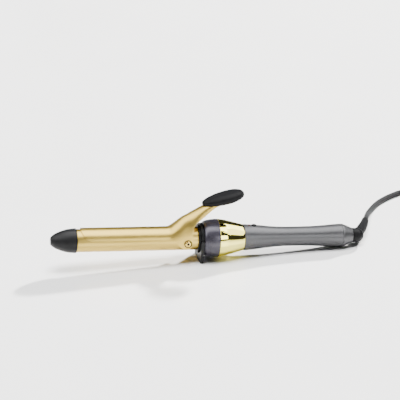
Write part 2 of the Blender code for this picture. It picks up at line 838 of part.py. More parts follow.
def build_handle(iron, paint):
    half_seam = 0.5 * GAP
    far = 30.0 * MM
    start = 180.0 * MM
    end = 335.0 * MM
    upper = turned("handle_upper_shell", shell_section(), paint["grey_metallic"], iron)
    cut(upper, block(
        "cut_upper_shell", (start, -far, -far), (end, far, SEAM_Z + half_seam), None, iron
    ))
    lower = turned("handle_lower_shell", shell_section(), paint["grey_metallic"], iron)
    cut(lower, block(
        "cut_lower_shell", (start, -far, SEAM_Z - half_seam), (end, far, far), None, iron
    ))
    for name, station, shell_r in (
        ("front", BOSS_STATIONS[0], SHELL_NECK_R), ("rear", BOSS_STATIONS[1], 11.7 * MM),
    ):
        build_screw_joint(iron, paint, upper, lower, name, station, shell_r)
    for name, station, radius in (
        ("cut_button_hole", BUTTON_STATION, BUTTON_R + GAP),
        ("cut_lens_hole", LENS_STATION, LENS_R + GAP),
    ):
        cut(upper, rod(
            name, (station, 0, 8 * MM), (station, 0, 20 * MM), radius, None, iron, segments=20
        ))
    turned("rear_cap", in_metres(CAP_OUTLINE), paint["grey_metallic"], iron)


def build_screw_joint(iron, paint, upper, lower, name, station, shell_r):
    """A post in the upper shell, a seat in the lower one and the screw that joins them."""
    boss_r = 2.8 * MM
    unite(upper, rod(
        f"join_upper_boss_{name}", (station, 0, SEAM_Z + 0.5 * MM),
        (station, 0, shell_r - 0.9 * MM), boss_r, None, iron, segments=16,
    ))
    cut(upper, rod(
        f"cut_upper_boss_{name}", (station, 0, SEAM_Z - 1 * MM), (station, 0, 4 * MM), 1.6 * MM,
        None, iron, segments=12,
    ))
    unite(lower, rod(
        f"join_lower_boss_{name}", (station, 0, 1.2 * MM - shell_r),
        (station, 0, SEAM_Z - 0.5 * MM), 4.2 * MM, None, iron, segments=20,
    ))
    cut(lower, rod(
        f"cut_lower_boss_{name}", (station, 0, -20 * MM), (station, 0, 0), 1.6 * MM, None, iron,
        segments=12,
    ))
    cut(lower, rod(
        f"cut_lower_seat_{name}", (station, 0, -20 * MM), (station, 0, -8 * MM), 2.9 * MM, None,
        iron, segments=16,
    ))
    screw = rod(
        f"handle_screw_{name}", (station, 0, -9.8 * MM), (station, 0, -8.3 * MM), 2.6 * MM,
        paint["steel"], iron, segments=16,
    )
    unite(screw, rod(
        f"join_handle_screw_{name}", (station, 0, -9 * MM), (station, 0, 3.5 * MM), 1.3 * MM,
        None, iron, segments=12,
    ))


def build_controls(iron, button_empty, paint):
    button = (
        (6.6 * MM, 0.0), (6.6 * MM, 1.6 * MM), (10.0 * MM, 1.6 * MM), (10.0 * MM, 3.8 * MM),
        (11.0 * MM, 3.8 * MM), (11.0 * MM, BUTTON_R), (BUTTON_TOP_Z - 0.5 * MM, BUTTON_R),
        (BUTTON_TOP_Z, BUTTON_R - 0.6 * MM), (BUTTON_TOP_Z, 0.0),
    )
    upright("power_button", button, BUTTON_STATION, paint["black_plastic"], button_empty)
    lens = (
        (6.6 * MM, 0.0), (6.6 * MM, LENS_R), (14.6 * MM, LENS_R), (14.9 * MM, 0.8 * MM),
        (14.9 * MM, 0.0),
    )
    upright("indicator_lens", lens, LENS_STATION, paint["lens"], iron)


def upright(name, outline, station, material, parent, segments=20):
    """Turns a half section, (height, radius), round an upright line of the iron's frame."""
    bm = bmesh.new()
    verts = [bm.verts.new((station + r, 0.0, z)) for z, r in outline]
    edges = [bm.edges.new(pair) for pair in zip(verts, verts[1:])]
    bmesh.ops.spin(
        bm, geom=verts + edges, cent=(station, 0.0, 0.0), axis=(0.0, 0.0, 1.0),
        angle=2.0 * math.pi, steps=segments, use_merge=True,
    )
    return from_bmesh(name, bm, material, parent)


def build_electronics(iron, paint):
    board_half = 6.5 * MM
    block(
        "control_board", (BOARD_START, -board_half, BOARD_LOW_Z),
        (BOARD_END, board_half, BOARD_TOP_Z), paint["board_green"], iron,
    )
    on_top = BOARD_TOP_Z + GAP
    under = BOARD_LOW_Z - GAP
    block(
        "tact_switch", (BUTTON_STATION - 3 * MM, -3 * MM, on_top),
        (BUTTON_STATION + 3 * MM, 3 * MM, on_top + 1.9 * MM), paint["black_plastic"], iron,
    )
    block(
        "controller_chip", (262 * MM, -2.5 * MM, on_top), (268 * MM, 2.5 * MM, on_top + 1.2 * MM),
        paint["black_plastic"], iron,
    )
    block(
        "triac", (240 * MM, -4 * MM, under - 5 * MM), (250 * MM, 4 * MM, under),
        paint["black_plastic"], iron,
    )
    rod(
        "capacitor", (256 * MM, 0, under - 3.2 * MM), (267 * MM, 0, under - 3.2 * MM), 3.2 * MM,
        paint["capacitor_blue"], iron, segments=16,
    )
    rod(
        "indicator_led", (LENS_STATION, 0, on_top), (LENS_STATION, 0, on_top + 2.3 * MM),
        1.1 * MM, paint["lens"], iron, segments=12,
    )
    leads = (
        ("heater_lead_left", 140.6, 231.0, -LEAD_Y, LEAD_Z, 0.9, "lead_white"),
        ("heater_lead_right", 170.3, 231.0, LEAD_Y, LEAD_Z, 0.9, "lead_white"),
        ("sensor_lead", 144.3, 213.5, 3.9 * MM, 4.0 * MM, 0.6, "lead_white"),
        ("supply_lead_left", 300.3, 313.6, -4.3 * MM, 2.7 * MM, 0.8, "lead_blue"),
        ("supply_lead_right", 300.3, 313.6, 4.3 * MM, 2.7 * MM, 0.8, "lead_brown"),
    )
    for name, start, end, y, z, radius, finish_name in leads:
        rod(
            name, (start * MM, y, z), (end * MM, y, z), radius * MM, paint[finish_name], iron,
            segments=10,
        )


# ---------------------------------------------------------------- swivel and cord


def build_swivel(iron, swivel_empty, paint):
    turned("swivel_spindle", in_metres(SPINDLE_OUTLINE), paint["black_plastic"], swivel_empty,
           segments=20)
    for name, start in (("slip_ring_front", 319.7), ("slip_ring_rear", 323.7)):
        ring = ((start, 3.5), (start, 5.2), (start + 2.0, 5.2), (start + 2.0, 3.5))
        turned(name, in_metres(ring), paint["brass"], swivel_empty, segments=20)
    for name, side, start in (
        ("contact_brush_left", -1.0, 318.2), ("contact_brush_right", 1.0, 322.2),
    ):
        low = min(side * 5.5, side * 6.1) * MM
        high = max(side * 5.5, side * 6.1) * MM
        block(
            name, (start * MM, low, -1.5 * MM), ((start + 5.0) * MM, high, 1.5 * MM),
            paint["brass"], iron,
        )
    build_swivel_housing(swivel_empty, iron, paint)
    build_strain_relief(swivel_empty, paint)


def build_swivel_housing(swivel_empty, iron, paint):
    """A short cylinder with a round end. A slanting flat on the end takes the boot."""
    socket_r = SPINDLE_R + GAP
    outline = [
        (SWIVEL_FRONT, socket_r), (SWIVEL_FRONT, SWIVEL_R - 0.4 * MM),
        (SWIVEL_FRONT + 0.4 * MM, SWIVEL_R),
    ]
    steps = 8
    for k in range(steps + 1):
        turn = 0.5 * math.pi * k / steps
        outline.append(
            (SWIVEL_CENTRE + SWIVEL_R * math.sin(turn), SWIVEL_R * math.cos(turn))
        )
    outline[-1] = (outline[-1][0], 0.0)
    bm = bmesh.new()
    verts = [bm.verts.new((x, 0.0, r)) for x, r in outline]
    socket = [
        bm.verts.new((SWIVEL_CENTRE - 2.0 * MM, 0.0, 0.0)),
        bm.verts.new((SWIVEL_CENTRE - 2.0 * MM, 0.0, socket_r)),
    ]
    chain = socket + verts
    edges = [bm.edges.new(pair) for pair in zip(chain, chain[1:])]
    bmesh.ops.spin(
        bm, geom=chain + edges, cent=(0.0, 0.0, 0.0), axis=(1.0, 0.0, 0.0),
        angle=2.0 * math.pi, steps=32, use_merge=True,
    )
    housing = from_bmesh("swivel_housing", bm, paint["black_plastic"], swivel_empty)
    centre = Vector((SWIVEL_CENTRE, 0.0, 0.0))
    out = Vector((math.cos(BOOT_ANGLE), math.sin(BOOT_ANGLE), 0.0))
    facet = rod(
        "cut_swivel_facet", centre + out * BOOT_SEAT, centre + out * 20 * MM, 14 * MM, None, iron,
        segments=24,
    )
    cut(housing, facet)


def build_strain_relief(swivel_empty, paint):
    sides = 16
    points = [Vector((x * MM, y * MM, 0.0)) for x, y, _ in BOOT_ROUTE]
    rings = []
    for k, point in enumerate(points):
        ahead = points[min(k + 1, len(points) - 1)]
        behind = points[max(k - 1, 0)]
        along = (ahead - behind).normalized()
        if k == 0:
            along = Vector((math.cos(BOOT_ANGLE), math.sin(BOOT_ANGLE), 0.0))
        side = Vector((-along.y, along.x, 0.0))
        up = Vector((0.0, 0.0, 1.0))
        radius = BOOT_ROUTE[k][2] * MM
        rings.append(
            [
                point + radius * (math.cos(turn) * side + math.sin(turn) * up)
                for turn in (2.0 * math.pi * i / sides for i in range(sides))
            ]
        )
    first_step = (points[1] - points[0]).normalized() * GAP
    rings[0] = [place + first_step for place in rings[0]]
    loft("strain_relief", rings, paint["black_rubber"], swivel_empty)


def build_cord(iron, paint):
    boot_end, boot_before = (Vector((x, y, 0.0)) * MM for x, y, _ in BOOT_ROUTE[:-3:-1])
    outward = (boot_end - boot_before).normalized()
    start = iron.matrix_world @ (boot_end + outward * CORD_CLEAR)
    route = smooth_route([start, *in_metres(CORD_ROUTE)], 0.007)
    tube("cord", route, CORD_R, paint["cord_grey"])
    tube("cord_tail", smooth_route(in_metres(TAIL_ROUTE), 0.006), CORD_R, paint["cord_grey"])
    coil = build_coil(paint)
    build_tie(coil, paint)


def build_coil(paint):
    """The outer shape of the coiled stretch, a turned ring with softened corners."""
    soft = 2.5 * MM
    low = COIL_R - COIL_HALF_WIDTH
    high = COIL_R + COIL_HALF_WIDTH
    section = (
        (low, soft), (low + soft, 0.0), (high - soft, 0.0), (high, soft),
        (high, COIL_HEIGHT - soft), (high - soft, COIL_HEIGHT), (low + soft, COIL_HEIGHT),
        (low, COIL_HEIGHT - soft),
    )
    bm = bmesh.new()
    verts = [bm.verts.new(COIL_CENTRE + Vector((r, 0.0, z))) for r, z in section]
    edges = [bm.edges.new((verts[k - 1], verts[k])) for k in range(len(verts))]
    bmesh.ops.spin(
        bm, geom=verts + edges, cent=COIL_CENTRE, axis=(0.0, 0.0, 1.0), angle=2.0 * math.pi,
        steps=40, use_merge=True,
    )
    return from_bmesh("cord_coil", bm, paint["cord_grey"], None)


def tie_frame(across, half_wide, low, high):
    """A rectangular ring's corners round the coil's bundle, at one place along it."""
    out = Vector((math.cos(TIE_ANGLE), math.sin(TIE_ANGLE), 0.0))
    along = Vector((-out.y, out.x, 0.0))
    return [
        COIL_CENTRE + out * (COIL_R + side * half_wide) + along * across + Vector((0, 0, z))
        for side, z in ((-1, low), (1, low), (1, high), (-1, high))
    ]


def build_tie(coil, paint):
    """A flat strap round the bundle, sunk into a groove of the coil's solid."""
    deep = 1.6 * MM
    inner_half = COIL_HALF_WIDTH - deep + GAP
    groove_half = COIL_HALF_WIDTH + 4.0 * MM
    room = TIE_WIDTH * 0.5 + GAP
    groove = loft(
        "cut_tie_groove",
        [tie_frame(a, groove_half, -5 * MM, COIL_HEIGHT + 5 * MM) for a in (-room, room)],
        None, None,
    )
    kept = loft(
        "cut_tie_kept",
        [
            tie_frame(a, COIL_HALF_WIDTH - deep, deep, COIL_HEIGHT - deep)
            for a in (-2 * room, 2 * room)
        ],
        None, None,
    )
    cut(groove, kept)
    cut(coil, groove)
    half = 0.5 * TIE_WIDTH
    outer_half = inner_half + TIE_THICK
    tie = loft(
        "coil_tie",
        [
            tie_frame(a, outer_half, deep - GAP - TIE_THICK, COIL_HEIGHT - deep + GAP + TIE_THICK)
            for a in (-half, half)
        ],
        paint["tie_black"], None,
    )
    hollow = loft(
        "cut_tie_hollow",
        [
            tie_frame(a, inner_half, deep - GAP, COIL_HEIGHT - deep + GAP)
            for a in (-2 * half, 2 * half)
        ],
        None, None,
    )
    cut(tie, hollow)


def build_plug(paint):
    """A flat two-pin plug lying on the floor, its cord entry towards +Y."""
    mid = 0.5 * PLUG_HEIGHT
    stations = (
        (PLUG_REAR_Y + 13.0 * MM, 3.6, 3.6), (PLUG_REAR_Y + 7.0 * MM, 4.1, 4.1),
        (PLUG_REAR_Y + 1.0 * MM, 5.0, 4.6), (PLUG_REAR_Y - 3.0 * MM, 8.6, 6.0),
        (PLUG_REAR_Y - 9.0 * MM, 13.6, 6.85), (PLUG_REAR_Y - 15.0 * MM, 16.6, 6.85),
        (PLUG_REAR_Y - 21.0 * MM, 17.6, 6.85), (PLUG_FRONT_Y + 1.0 * MM, 17.6, 6.85),
        (PLUG_FRONT_Y, 16.8, 6.2),
    )
    sides = 24
    rings = []
    for y, half_wide, half_high in stations:
        power = 2.0 / (2.0 if half_wide == half_high else 4.0)
        ring = []
        for k in range(sides):
            turn = 2.0 * math.pi * k / sides
            c = math.cos(turn)
            s = math.sin(turn)
            ring.append(
                (
                    PLUG_X + math.copysign(abs(c) ** power, c) * half_wide * MM, y,
                    mid + math.copysign(abs(s) ** power, s) * half_high * MM,
                )
            )
        rings.append(ring)
    loft("plug_body", rings, paint["black_plastic"], None)
    for name, side in (("plug_pin_left", -1.0), ("plug_pin_right", 1.0)):
        base = (PLUG_X + side * PLUG_PIN_HALF_SPACING, PLUG_FRONT_Y - GAP, mid)
        tip = (
            PLUG_X + side * (PLUG_PIN_HALF_SPACING - 0.5 * MM),
            PLUG_FRONT_Y - PLUG_PIN_LENGTH, mid,
        )
        rod(name, base, tip, PLUG_PIN_R, paint["brass"], None, segments=14)


def make_paint():
    return {
        "satin_gold": make_material("satin_gold", (0.78, 0.60, 0.32), 0.36, 1.0),
        "mirror_gold": make_material("mirror_gold", (0.86, 0.74, 0.36), 0.05, 1.0),
        "polished_steel": make_material("polished_steel", (0.78, 0.72, 0.55), 0.18, 1.0),
        "black_plastic": make_material("black_plastic", (0.015, 0.015, 0.018), 0.42, 0.0),
        "black_rubber": make_material("black_rubber", (0.02, 0.02, 0.022), 0.5, 0.0),
        "dark_grey": make_material("dark_grey", (0.14, 0.13, 0.16), 0.38, 0.4),
        "grey_metallic": make_material("grey_metallic", (0.20, 0.20, 0.21), 0.35, 0.55),
        "aluminium": make_material("aluminium", (0.75, 0.76, 0.78), 0.35, 1.0),
        "steel": make_material("steel", (0.55, 0.55, 0.57), 0.35, 1.0),
        "brass": make_material("brass", (0.78, 0.62, 0.28), 0.28, 1.0),
        "ceramic": make_material("ceramic", (0.80, 0.78, 0.72), 0.7, 0.0),
        "mica": make_material("mica", (0.62, 0.55, 0.42), 0.6, 0.0),
        "heat_plastic": make_material("heat_plastic", (0.08, 0.08, 0.08), 0.6, 0.0),
        "board_green": make_material("board_green", (0.02, 0.22, 0.08), 0.5, 0.0),
        "capacitor_blue": make_material("capacitor_blue", (0.05, 0.10, 0.35), 0.4, 0.0),
        "lead_white": make_material("lead_white", (0.8, 0.8, 0.78), 0.6, 0.0),
        "lead_blue": make_material("lead_blue", (0.05, 0.12, 0.5), 0.5, 0.0),
        "lead_brown": make_material("lead_brown", (0.22, 0.09, 0.03), 0.5, 0.0),
        "lens": make_material("lens", (0.85, 0.30, 0.22), 0.15, 0.0),
        "cord_grey": make_material("cord_grey", (0.10, 0.10, 0.105), 0.5, 0.0),
        "tie_black": make_material("tie_black", (0.03, 0.03, 0.03), 0.7, 0.0),
    }


def main():
    clear_scene()
    paint = make_paint()
    iron = make_empty("iron_axis", (0.0, 0.0, AXIS_HEIGHT_AT_TIP))
    iron.location.x = -ROOT_STATION
    iron.rotation_euler = (0.0, PITCH, 0.0)
    clip_pivot = make_empty("clip_pivot", PIVOT, iron)
    stand_pivot = make_empty("stand_pivot", STAND_PIN, iron)
    button_slide = make_empty("button_slide", (BUTTON_STATION, 0.0, BUTTON_TOP_Z), iron)
    swivel_axis = make_empty("swivel_axis", (SWIVEL_CENTRE, 0.0, 0.0), iron)
    build_barrel(iron, paint)
    build_heater(iron, paint)
    build_pivot(iron, paint)
    build_clip(clip_pivot, iron, paint)
    build_thumb_rest(clip_pivot, iron, paint)
    build_clip_spring(iron, paint)
    pin_hole = build_neck(iron, paint)
    build_stand(stand_pivot, iron, pin_hole, paint)
    build_collar(iron, paint)
    build_handle(iron, paint)
    build_controls(iron, button_slide, paint)
    build_electronics(iron, paint)
    build_swivel(iron, swivel_axis, paint)
    bpy.context.view_layer.update()
    build_cord(iron, paint)
    build_plug(paint)
    bpy.context.view_layer.update()


main()
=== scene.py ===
"""Looks of the spring-clip curling iron: finer pieces, materials, the whole cord and the studio.

Metres, +Z up. The iron's own pieces are written in the iron's frame, in millimetres: x runs along
the barrel's axis from the tip, where it is called a station, y is level and z is square to both.
An outline is a list of (station, radius), or of (height, radius) for a piece across the iron.
"""
import math

import bmesh
import bpy
from mathutils import Matrix, Vector


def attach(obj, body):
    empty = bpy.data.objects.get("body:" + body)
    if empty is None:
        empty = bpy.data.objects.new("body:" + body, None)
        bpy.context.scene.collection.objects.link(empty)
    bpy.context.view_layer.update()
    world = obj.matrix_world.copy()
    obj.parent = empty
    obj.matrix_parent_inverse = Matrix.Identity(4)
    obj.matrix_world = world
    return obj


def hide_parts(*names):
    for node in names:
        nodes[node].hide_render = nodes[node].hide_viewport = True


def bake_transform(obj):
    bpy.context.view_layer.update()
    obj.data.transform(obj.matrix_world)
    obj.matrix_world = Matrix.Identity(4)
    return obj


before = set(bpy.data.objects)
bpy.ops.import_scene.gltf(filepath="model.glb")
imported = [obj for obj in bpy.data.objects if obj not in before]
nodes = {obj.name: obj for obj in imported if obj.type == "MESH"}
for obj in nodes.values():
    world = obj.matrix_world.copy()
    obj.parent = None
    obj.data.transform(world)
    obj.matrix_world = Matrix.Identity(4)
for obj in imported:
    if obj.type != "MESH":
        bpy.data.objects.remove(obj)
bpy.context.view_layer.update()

MM = 0.001
ROW_MM = Matrix.Scale(MM, 4)
UP = Vector((0.0, 0.0, 1.0))
BODY = "iron_body"
SWIVEL = "cord_swivel"

# ---- sizes, in millimetres

BARREL_R = 12.7
BARREL_BORE_R = 11.5
BARREL_END = 176.0
TIP_END = 28.0
CLIP_THICK = 1.0
PIVOT = Vector((150.6, 0.0, -1.0))
FLANGE_R = 17.0
FLANGE_LOW_Z = 3.1
STAND_FRONT = 165.0
STAND_THICK = 3.5
STAND_HALF_WIDTH = 18.0
STAND_ARCH_R = 15.6
STAND_FOOT_Z = 0.1
STAND_PIN = Vector((STAND_FRONT + 0.5 * STAND_THICK, 0.0, 1.0))
FOOT_REACH = 24.0
PAD_CENTRE = Vector((189.8, 0.0, 46.6))
PAD_SLOPE = math.radians(14.9)
PAD_LENGTH = 48.0
SHELL_NECK_R = 12.7
SHELL_WALL = 1.8
SEAM_Z = -5.0
SEAM_HALF_GAP = 0.15
HANDLE_SCREWS = {"rear": 306.0, "front": 206.0}
REST_STATION = 329.0
REST_R = 12.8
BUTTON_STATION = 226.8
LENS_STATION = 221.2
SWIVEL_X = 345.9
SWIVEL_R = 7.9
BOOT_SEAT = 5.0
BOOT_ANGLE = math.radians(60.0)
BOOT_OUT = Vector((math.cos(BOOT_ANGLE), math.sin(BOOT_ANGLE), 0.0))
CORD_R = 3.0
CORD_BORE_R = CORD_R + 0.06
CORD_FLOOR_Z = CORD_R + 0.02
COIL_X = 306.2
COIL_Y = 100.0
COIL_R = 34.9
LANE = 6.05
LAYER = 5.85
TIE_ANGLE = math.radians(215.0)
PLUG_X = 351.7
PLUG_Z = 6.87
PLUG_FRONT_Y = 6.0
PLUG_BACK_Y = 53.0
PIN_Z = 6.85
PINS = {"left": 342.65, "right": 360.75}

# The iron stands on the foot of its stand and on the round rear end of its handle.
PITCH = math.atan2(FOOT_REACH - REST_R, REST_STATION - STAND_PIN.x)
AXIS_HEIGHT_AT_TIP = STAND_PIN.x * math.sin(PITCH) + FOOT_REACH * math.cos(PITCH)
ROOT_STATION = 176.35
IRON = Matrix.Translation((-ROOT_STATION * MM, 0.0, AXIS_HEIGHT_AT_TIP * MM))
IRON = IRON @ Matrix.Rotation(PITCH, 4, "Y")
IRON_MM = IRON @ ROW_MM

# ---- camera


def direction(azimuth, elevation):
    """Where something stands as seen from the iron, in degrees; azimuth from -Y towards +X."""
    azimuth = math.radians(azimuth)
    elevation = math.radians(elevation)
    return Vector((
        math.sin(azimuth) * math.cos(elevation), -math.cos(azimuth) * math.cos(elevation),
        math.sin(elevation),
    ))


def place_camera(azimuth, elevation, roll, distance, lens, target):
    camera = bpy.data.objects.new("camera", bpy.data.cameras.new("camera"))
    bpy.context.scene.collection.objects.link(camera)
    out = direction(azimuth, elevation)
    camera.location = Vector(target) + out * distance
    turn = (-out).to_track_quat("-Z", "Y").to_matrix().to_4x4()
    spin = Matrix.Rotation(math.radians(roll), 4, "Z")
    camera.matrix_world = Matrix.Translation(camera.location) @ turn @ spin
    camera.data.lens = lens
    camera.data.sensor_width = 36.0
    camera.data.clip_end = 50.0
    bpy.context.scene.camera = camera


place_camera(
    azimuth=-10.92, elevation=21.52, roll=-0.68, distance=2.421, lens=198.74,
    target=(-0.010095, -0.002315, 0.070074),
)

# ---- materials


class Tree:
    """A short way to write a procedural material."""

    def __init__(self, name):
        self.material = bpy.data.materials.new(name)
        self.material.use_nodes = True
        self.nodes = self.material.node_tree.nodes
        self.shader = self.nodes["Principled BSDF"]

    def add(self, kind, **values):
        """A node whose settings or inputs are given by name."""
        node = self.nodes.new(kind)
        for key, value in values.items():
            if hasattr(node, key):
                setattr(node, key, value)
            else:
                node.inputs[key.replace("_", " ").title()].default_value = value
        return node

    def link(self, out, into):
        self.material.node_tree.links.new(out, into)

    def place(self, stretch=(1.0, 1.0, 1.0)):
        """Object coordinates in metres, turned into the iron's own frame and stretched."""
        where = self.add("ShaderNodeTexCoord")
        turn = self.add("ShaderNodeMapping")
        turn.inputs["Rotation"].default_value = (0.0, -PITCH, 0.0)
        size = self.add("ShaderNodeMapping")
        size.inputs["Scale"].default_value = stretch
        self.link(where.outputs["Object"], turn.inputs["Vector"])
        self.link(turn.outputs["Vector"], size.inputs["Vector"])
        return size.outputs["Vector"]

    def noise(self, scale, stretch=(1.0, 1.0, 1.0), detail=3.0):
        node = self.add("ShaderNodeTexNoise", scale=scale, detail=detail, roughness=0.5)
        self.link(self.place(stretch), node.inputs["Vector"])
        return node.outputs["Fac"]

    def spread(self, fac, low, high, start=0.3, end=0.7):
        """Maps start to end onto low to high and holds the ends."""
        node = self.add("ShaderNodeMapRange")
        for key, value in (("From Min", start), ("From Max", end), ("To Min", low), ("To Max", high)):
            node.inputs[key].default_value = value
        self.link(fac, node.inputs["Value"])
        return node.outputs["Result"]

    def mix(self, fac, first, second):
        node = self.add("ShaderNodeMix")
        node.data_type = "RGBA"
        self.link(fac, node.inputs["Factor"])
        node.inputs["A"].default_value = (*first, 1.0)
        node.inputs["B"].default_value = (*second, 1.0)
        return node.outputs["Result"]

    def bump(self, height, strength, distance):
        """Relief on top of any relief that the shader has already."""
        node = self.add("ShaderNodeBump")
        node.inputs["Strength"].default_value = strength
        node.inputs["Distance"].default_value = distance
        self.link(height, node.inputs["Height"])
        before = self.shader.inputs["Normal"]
        if before.is_linked:
            self.link(before.links[0].from_socket, node.inputs["Normal"])
        self.link(node.outputs["Normal"], before)

    def fix(self, **values):
        """Sets the shader's own sockets."""
        for key, value in values.items():
            socket = key.replace("_", " ").title().replace("Ior", "IOR")
            self.shader.inputs[socket].default_value = value


def surface(name, light, dark, rough, metallic=0.0, patch=45.0, grain=1500.0,
            stretch=(1.0, 1.0, 1.0), bump=0.05, depth=0.00002, **fixed):
    """A material whose colour, roughness and relief all vary a little over the piece."""
    tree = Tree(name)
    patches = tree.noise(patch, detail=4.0)
    fine = tree.noise(grain, stretch, detail=2.0)
    tree.link(tree.mix(tree.spread(patches, 0.0, 1.0), dark, light), tree.shader.inputs["Base Color"])
    worn = tree.add("ShaderNodeMath", operation="ADD")
    tree.link(tree.spread(patches, rough[0], rough[1]), worn.inputs[0])
    tree.link(tree.spread(fine, -0.02, 0.02), worn.inputs[1])
    tree.link(worn.outputs["Value"], tree.shader.inputs["Roughness"])
    tree.bump(fine, bump, depth)
    tree.fix(metallic=metallic, **fixed)
    return tree.material


# Brushed along the iron: the grain is drawn out in x.
ALONG = (0.012, 1.0, 1.0)
LOOK = {}
LOOK["satin_gold"] = surface(
    "satin gold", (0.56, 0.40, 0.095), (0.545, 0.385, 0.09), (0.325, 0.355), metallic=1.0,
    grain=2600.0, stretch=ALONG, depth=0.00001,
)
LOOK["mirror_gold"] = surface(
    "mirror gold", (0.93, 0.84, 0.22), (0.91, 0.81, 0.20), (0.03, 0.045), metallic=1.0,
    patch=70.0, grain=160.0, depth=0.00004,
)
LOOK["black_plastic"] = surface(
    "black plastic", (0.006, 0.006, 0.0065), (0.004, 0.004, 0.0045), (0.40, 0.47), grain=2200.0,
    bump=0.22, depth=0.00004, specular_ior_level=0.2,
)
LOOK["neck_black"] = surface(
    "neck black", (0.004, 0.004, 0.0045), (0.003, 0.003, 0.0035), (0.42, 0.5), grain=2200.0,
    bump=0.15, depth=0.00003, specular_ior_level=0.12,
)
LOOK["pad_black"] = surface(
    "pad black", (0.0035, 0.0035, 0.004), (0.0025, 0.0025, 0.003), (0.5, 0.6), grain=1300.0,
    bump=0.4, depth=0.00008, specular_ior_level=0.12,
)
LOOK["collar_grey"] = surface(
    "collar grey", (0.052, 0.048, 0.064), (0.046, 0.042, 0.056), (0.26, 0.31), metallic=0.4,
    grain=3000.0, bump=0.08,
)
LOOK["black_rubber"] = surface(
    "black rubber", (0.008, 0.008, 0.0085), (0.006, 0.006, 0.0065), (0.55, 0.63), grain=1800.0,
    bump=0.15, depth=0.00003, specular_ior_level=0.08,
)
LOOK["cord_grey"] = surface(
    "cord grey", (0.028, 0.028, 0.029), (0.021, 0.021, 0.022), (0.52, 0.6), patch=60.0,
    bump=0.12, depth=0.00003, specular_ior_level=0.12,
)
LOOK["screw"] = surface(
    "warm polished steel", (0.72, 0.52, 0.14), (0.66, 0.47, 0.12), (0.14, 0.2), metallic=1.0,
    grain=900.0, stretch=(1.0, 1.0, 0.05), depth=0.00001,
)
LOOK["steel"] = surface(
    "plain steel", (0.58, 0.58, 0.60), (0.5, 0.5, 0.52), (0.3, 0.4), metallic=1.0, grain=1400.0,
    stretch=ALONG, bump=0.1, depth=0.00001,
)
LOOK["brass"] = surface(
    "brass", (0.80, 0.63, 0.30), (0.70, 0.54, 0.24), (0.22, 0.32), metallic=1.0, bump=0.06,
    depth=0.00001,
)
LOOK["aluminium"] = surface(
    "extruded aluminium", (0.78, 0.79, 0.80), (0.70, 0.71, 0.72), (0.32, 0.42), metallic=1.0,
    grain=2000.0, stretch=ALONG, bump=0.12, depth=0.00001,
)
LOOK["ceramic"] = surface(
    "ceramic", (0.80, 0.78, 0.72), (0.72, 0.69, 0.62), (0.6, 0.75), grain=1600.0, bump=0.2,
    depth=0.00003,
)
LOOK["mica"] = surface(
    "mica board", (0.62, 0.54, 0.40), (0.50, 0.43, 0.31), (0.45, 0.65), patch=220.0,
    grain=1200.0, bump=0.2, depth=0.00003,
)
LOOK["board"] = surface(
    "circuit board", (0.02, 0.22, 0.08), (0.015, 0.16, 0.06), (0.35, 0.45), grain=900.0,
    bump=0.08,
)
LOOK["blue"] = surface(
    "blue sleeve", (0.05, 0.11, 0.38), (0.04, 0.09, 0.30), (0.3, 0.4), grain=1200.0,
)
LOOK["white"] = surface(
    "white sleeving", (0.80, 0.80, 0.78), (0.72, 0.72, 0.69), (0.55, 0.65), grain=2200.0,
    bump=0.3, depth=0.00004,
)
LOOK["brown"] = surface(
    "brown wire", (0.20, 0.09, 0.035), (0.15, 0.065, 0.025), (0.4, 0.5),
)
LOOK["heat_plastic"] = surface(
    "glass filled plastic", (0.09, 0.09, 0.09), (0.06, 0.06, 0.06), (0.55, 0.7), bump=0.3,
    depth=0.00004,
)
LOOK["lens"] = surface(
    "smoked red lens", (0.10, 0.012, 0.01), (0.07, 0.009, 0.008), (0.12, 0.2), grain=900.0, bump=0.03,
)


def handle_paint():
    """Satin grey lacquer with a fine metallic fleck."""
    tree = Tree("handle grey")
    patches = tree.noise(38.0, detail=4.0)
    cells = tree.add("ShaderNodeTexVoronoi", scale=5200.0)
    tree.link(tree.place(), cells.inputs["Vector"])
    tint = tree.add("ShaderNodeSeparateColor")
    tree.link(cells.outputs["Color"], tint.inputs["Color"])
    flake = tree.spread(tint.outputs["Red"], 0.0, 1.0, 0.0, 1.0)
    base = tree.mix(flake, (0.052, 0.052, 0.055), (0.088, 0.088, 0.092))
    tree.link(base, tree.shader.inputs["Base Color"])
    rough = tree.add("ShaderNodeMath", operation="ADD")
    tree.link(tree.spread(patches, 0.33, 0.38), rough.inputs[0])
    tree.link(tree.spread(tint.outputs["Green"], -0.05, 0.05, 0.0, 1.0), rough.inputs[1])
    tree.link(rough.outputs["Value"], tree.shader.inputs["Roughness"])
    tree.bump(tint.outputs["Blue"], 0.06, 0.00002)
    tree.fix(metallic=0.6)
    return tree.material


def strap_cloth():
    """The woven face of a hook and loop strap."""
    tree = Tree("strap cloth")
    weave = tree.add("ShaderNodeTexWave", scale=900.0, distortion=1.5)
    tree.link(tree.place(), weave.inputs["Vector"])
    fuzz = tree.noise(2500.0)
    colour = tree.mix(tree.spread(fuzz, 0.0, 1.0), (0.018, 0.018, 0.02), (0.045, 0.045, 0.048))
    tree.link(colour, tree.shader.inputs["Base Color"])
    tree.link(tree.spread(fuzz, 0.75, 0.95), tree.shader.inputs["Roughness"])
    tree.bump(weave.outputs["Fac"], 0.5, 0.00015)
    tree.bump(fuzz, 0.5, 0.0001)
    tree.fix(specular_ior_level=0.2, sheen_weight=0.06)
    return tree.material


LOOK["handle_grey"] = handle_paint()
LOOK["strap"] = strap_cloth()

# ---- mesh helpers

SHARP = 32.0


def shade(mesh, sharp=SHARP):
    """Smooth shading with edges sharper than an angle left crisp."""
    mesh.shade_smooth()
    mesh.set_sharp_from_angle(angle=math.radians(sharp))


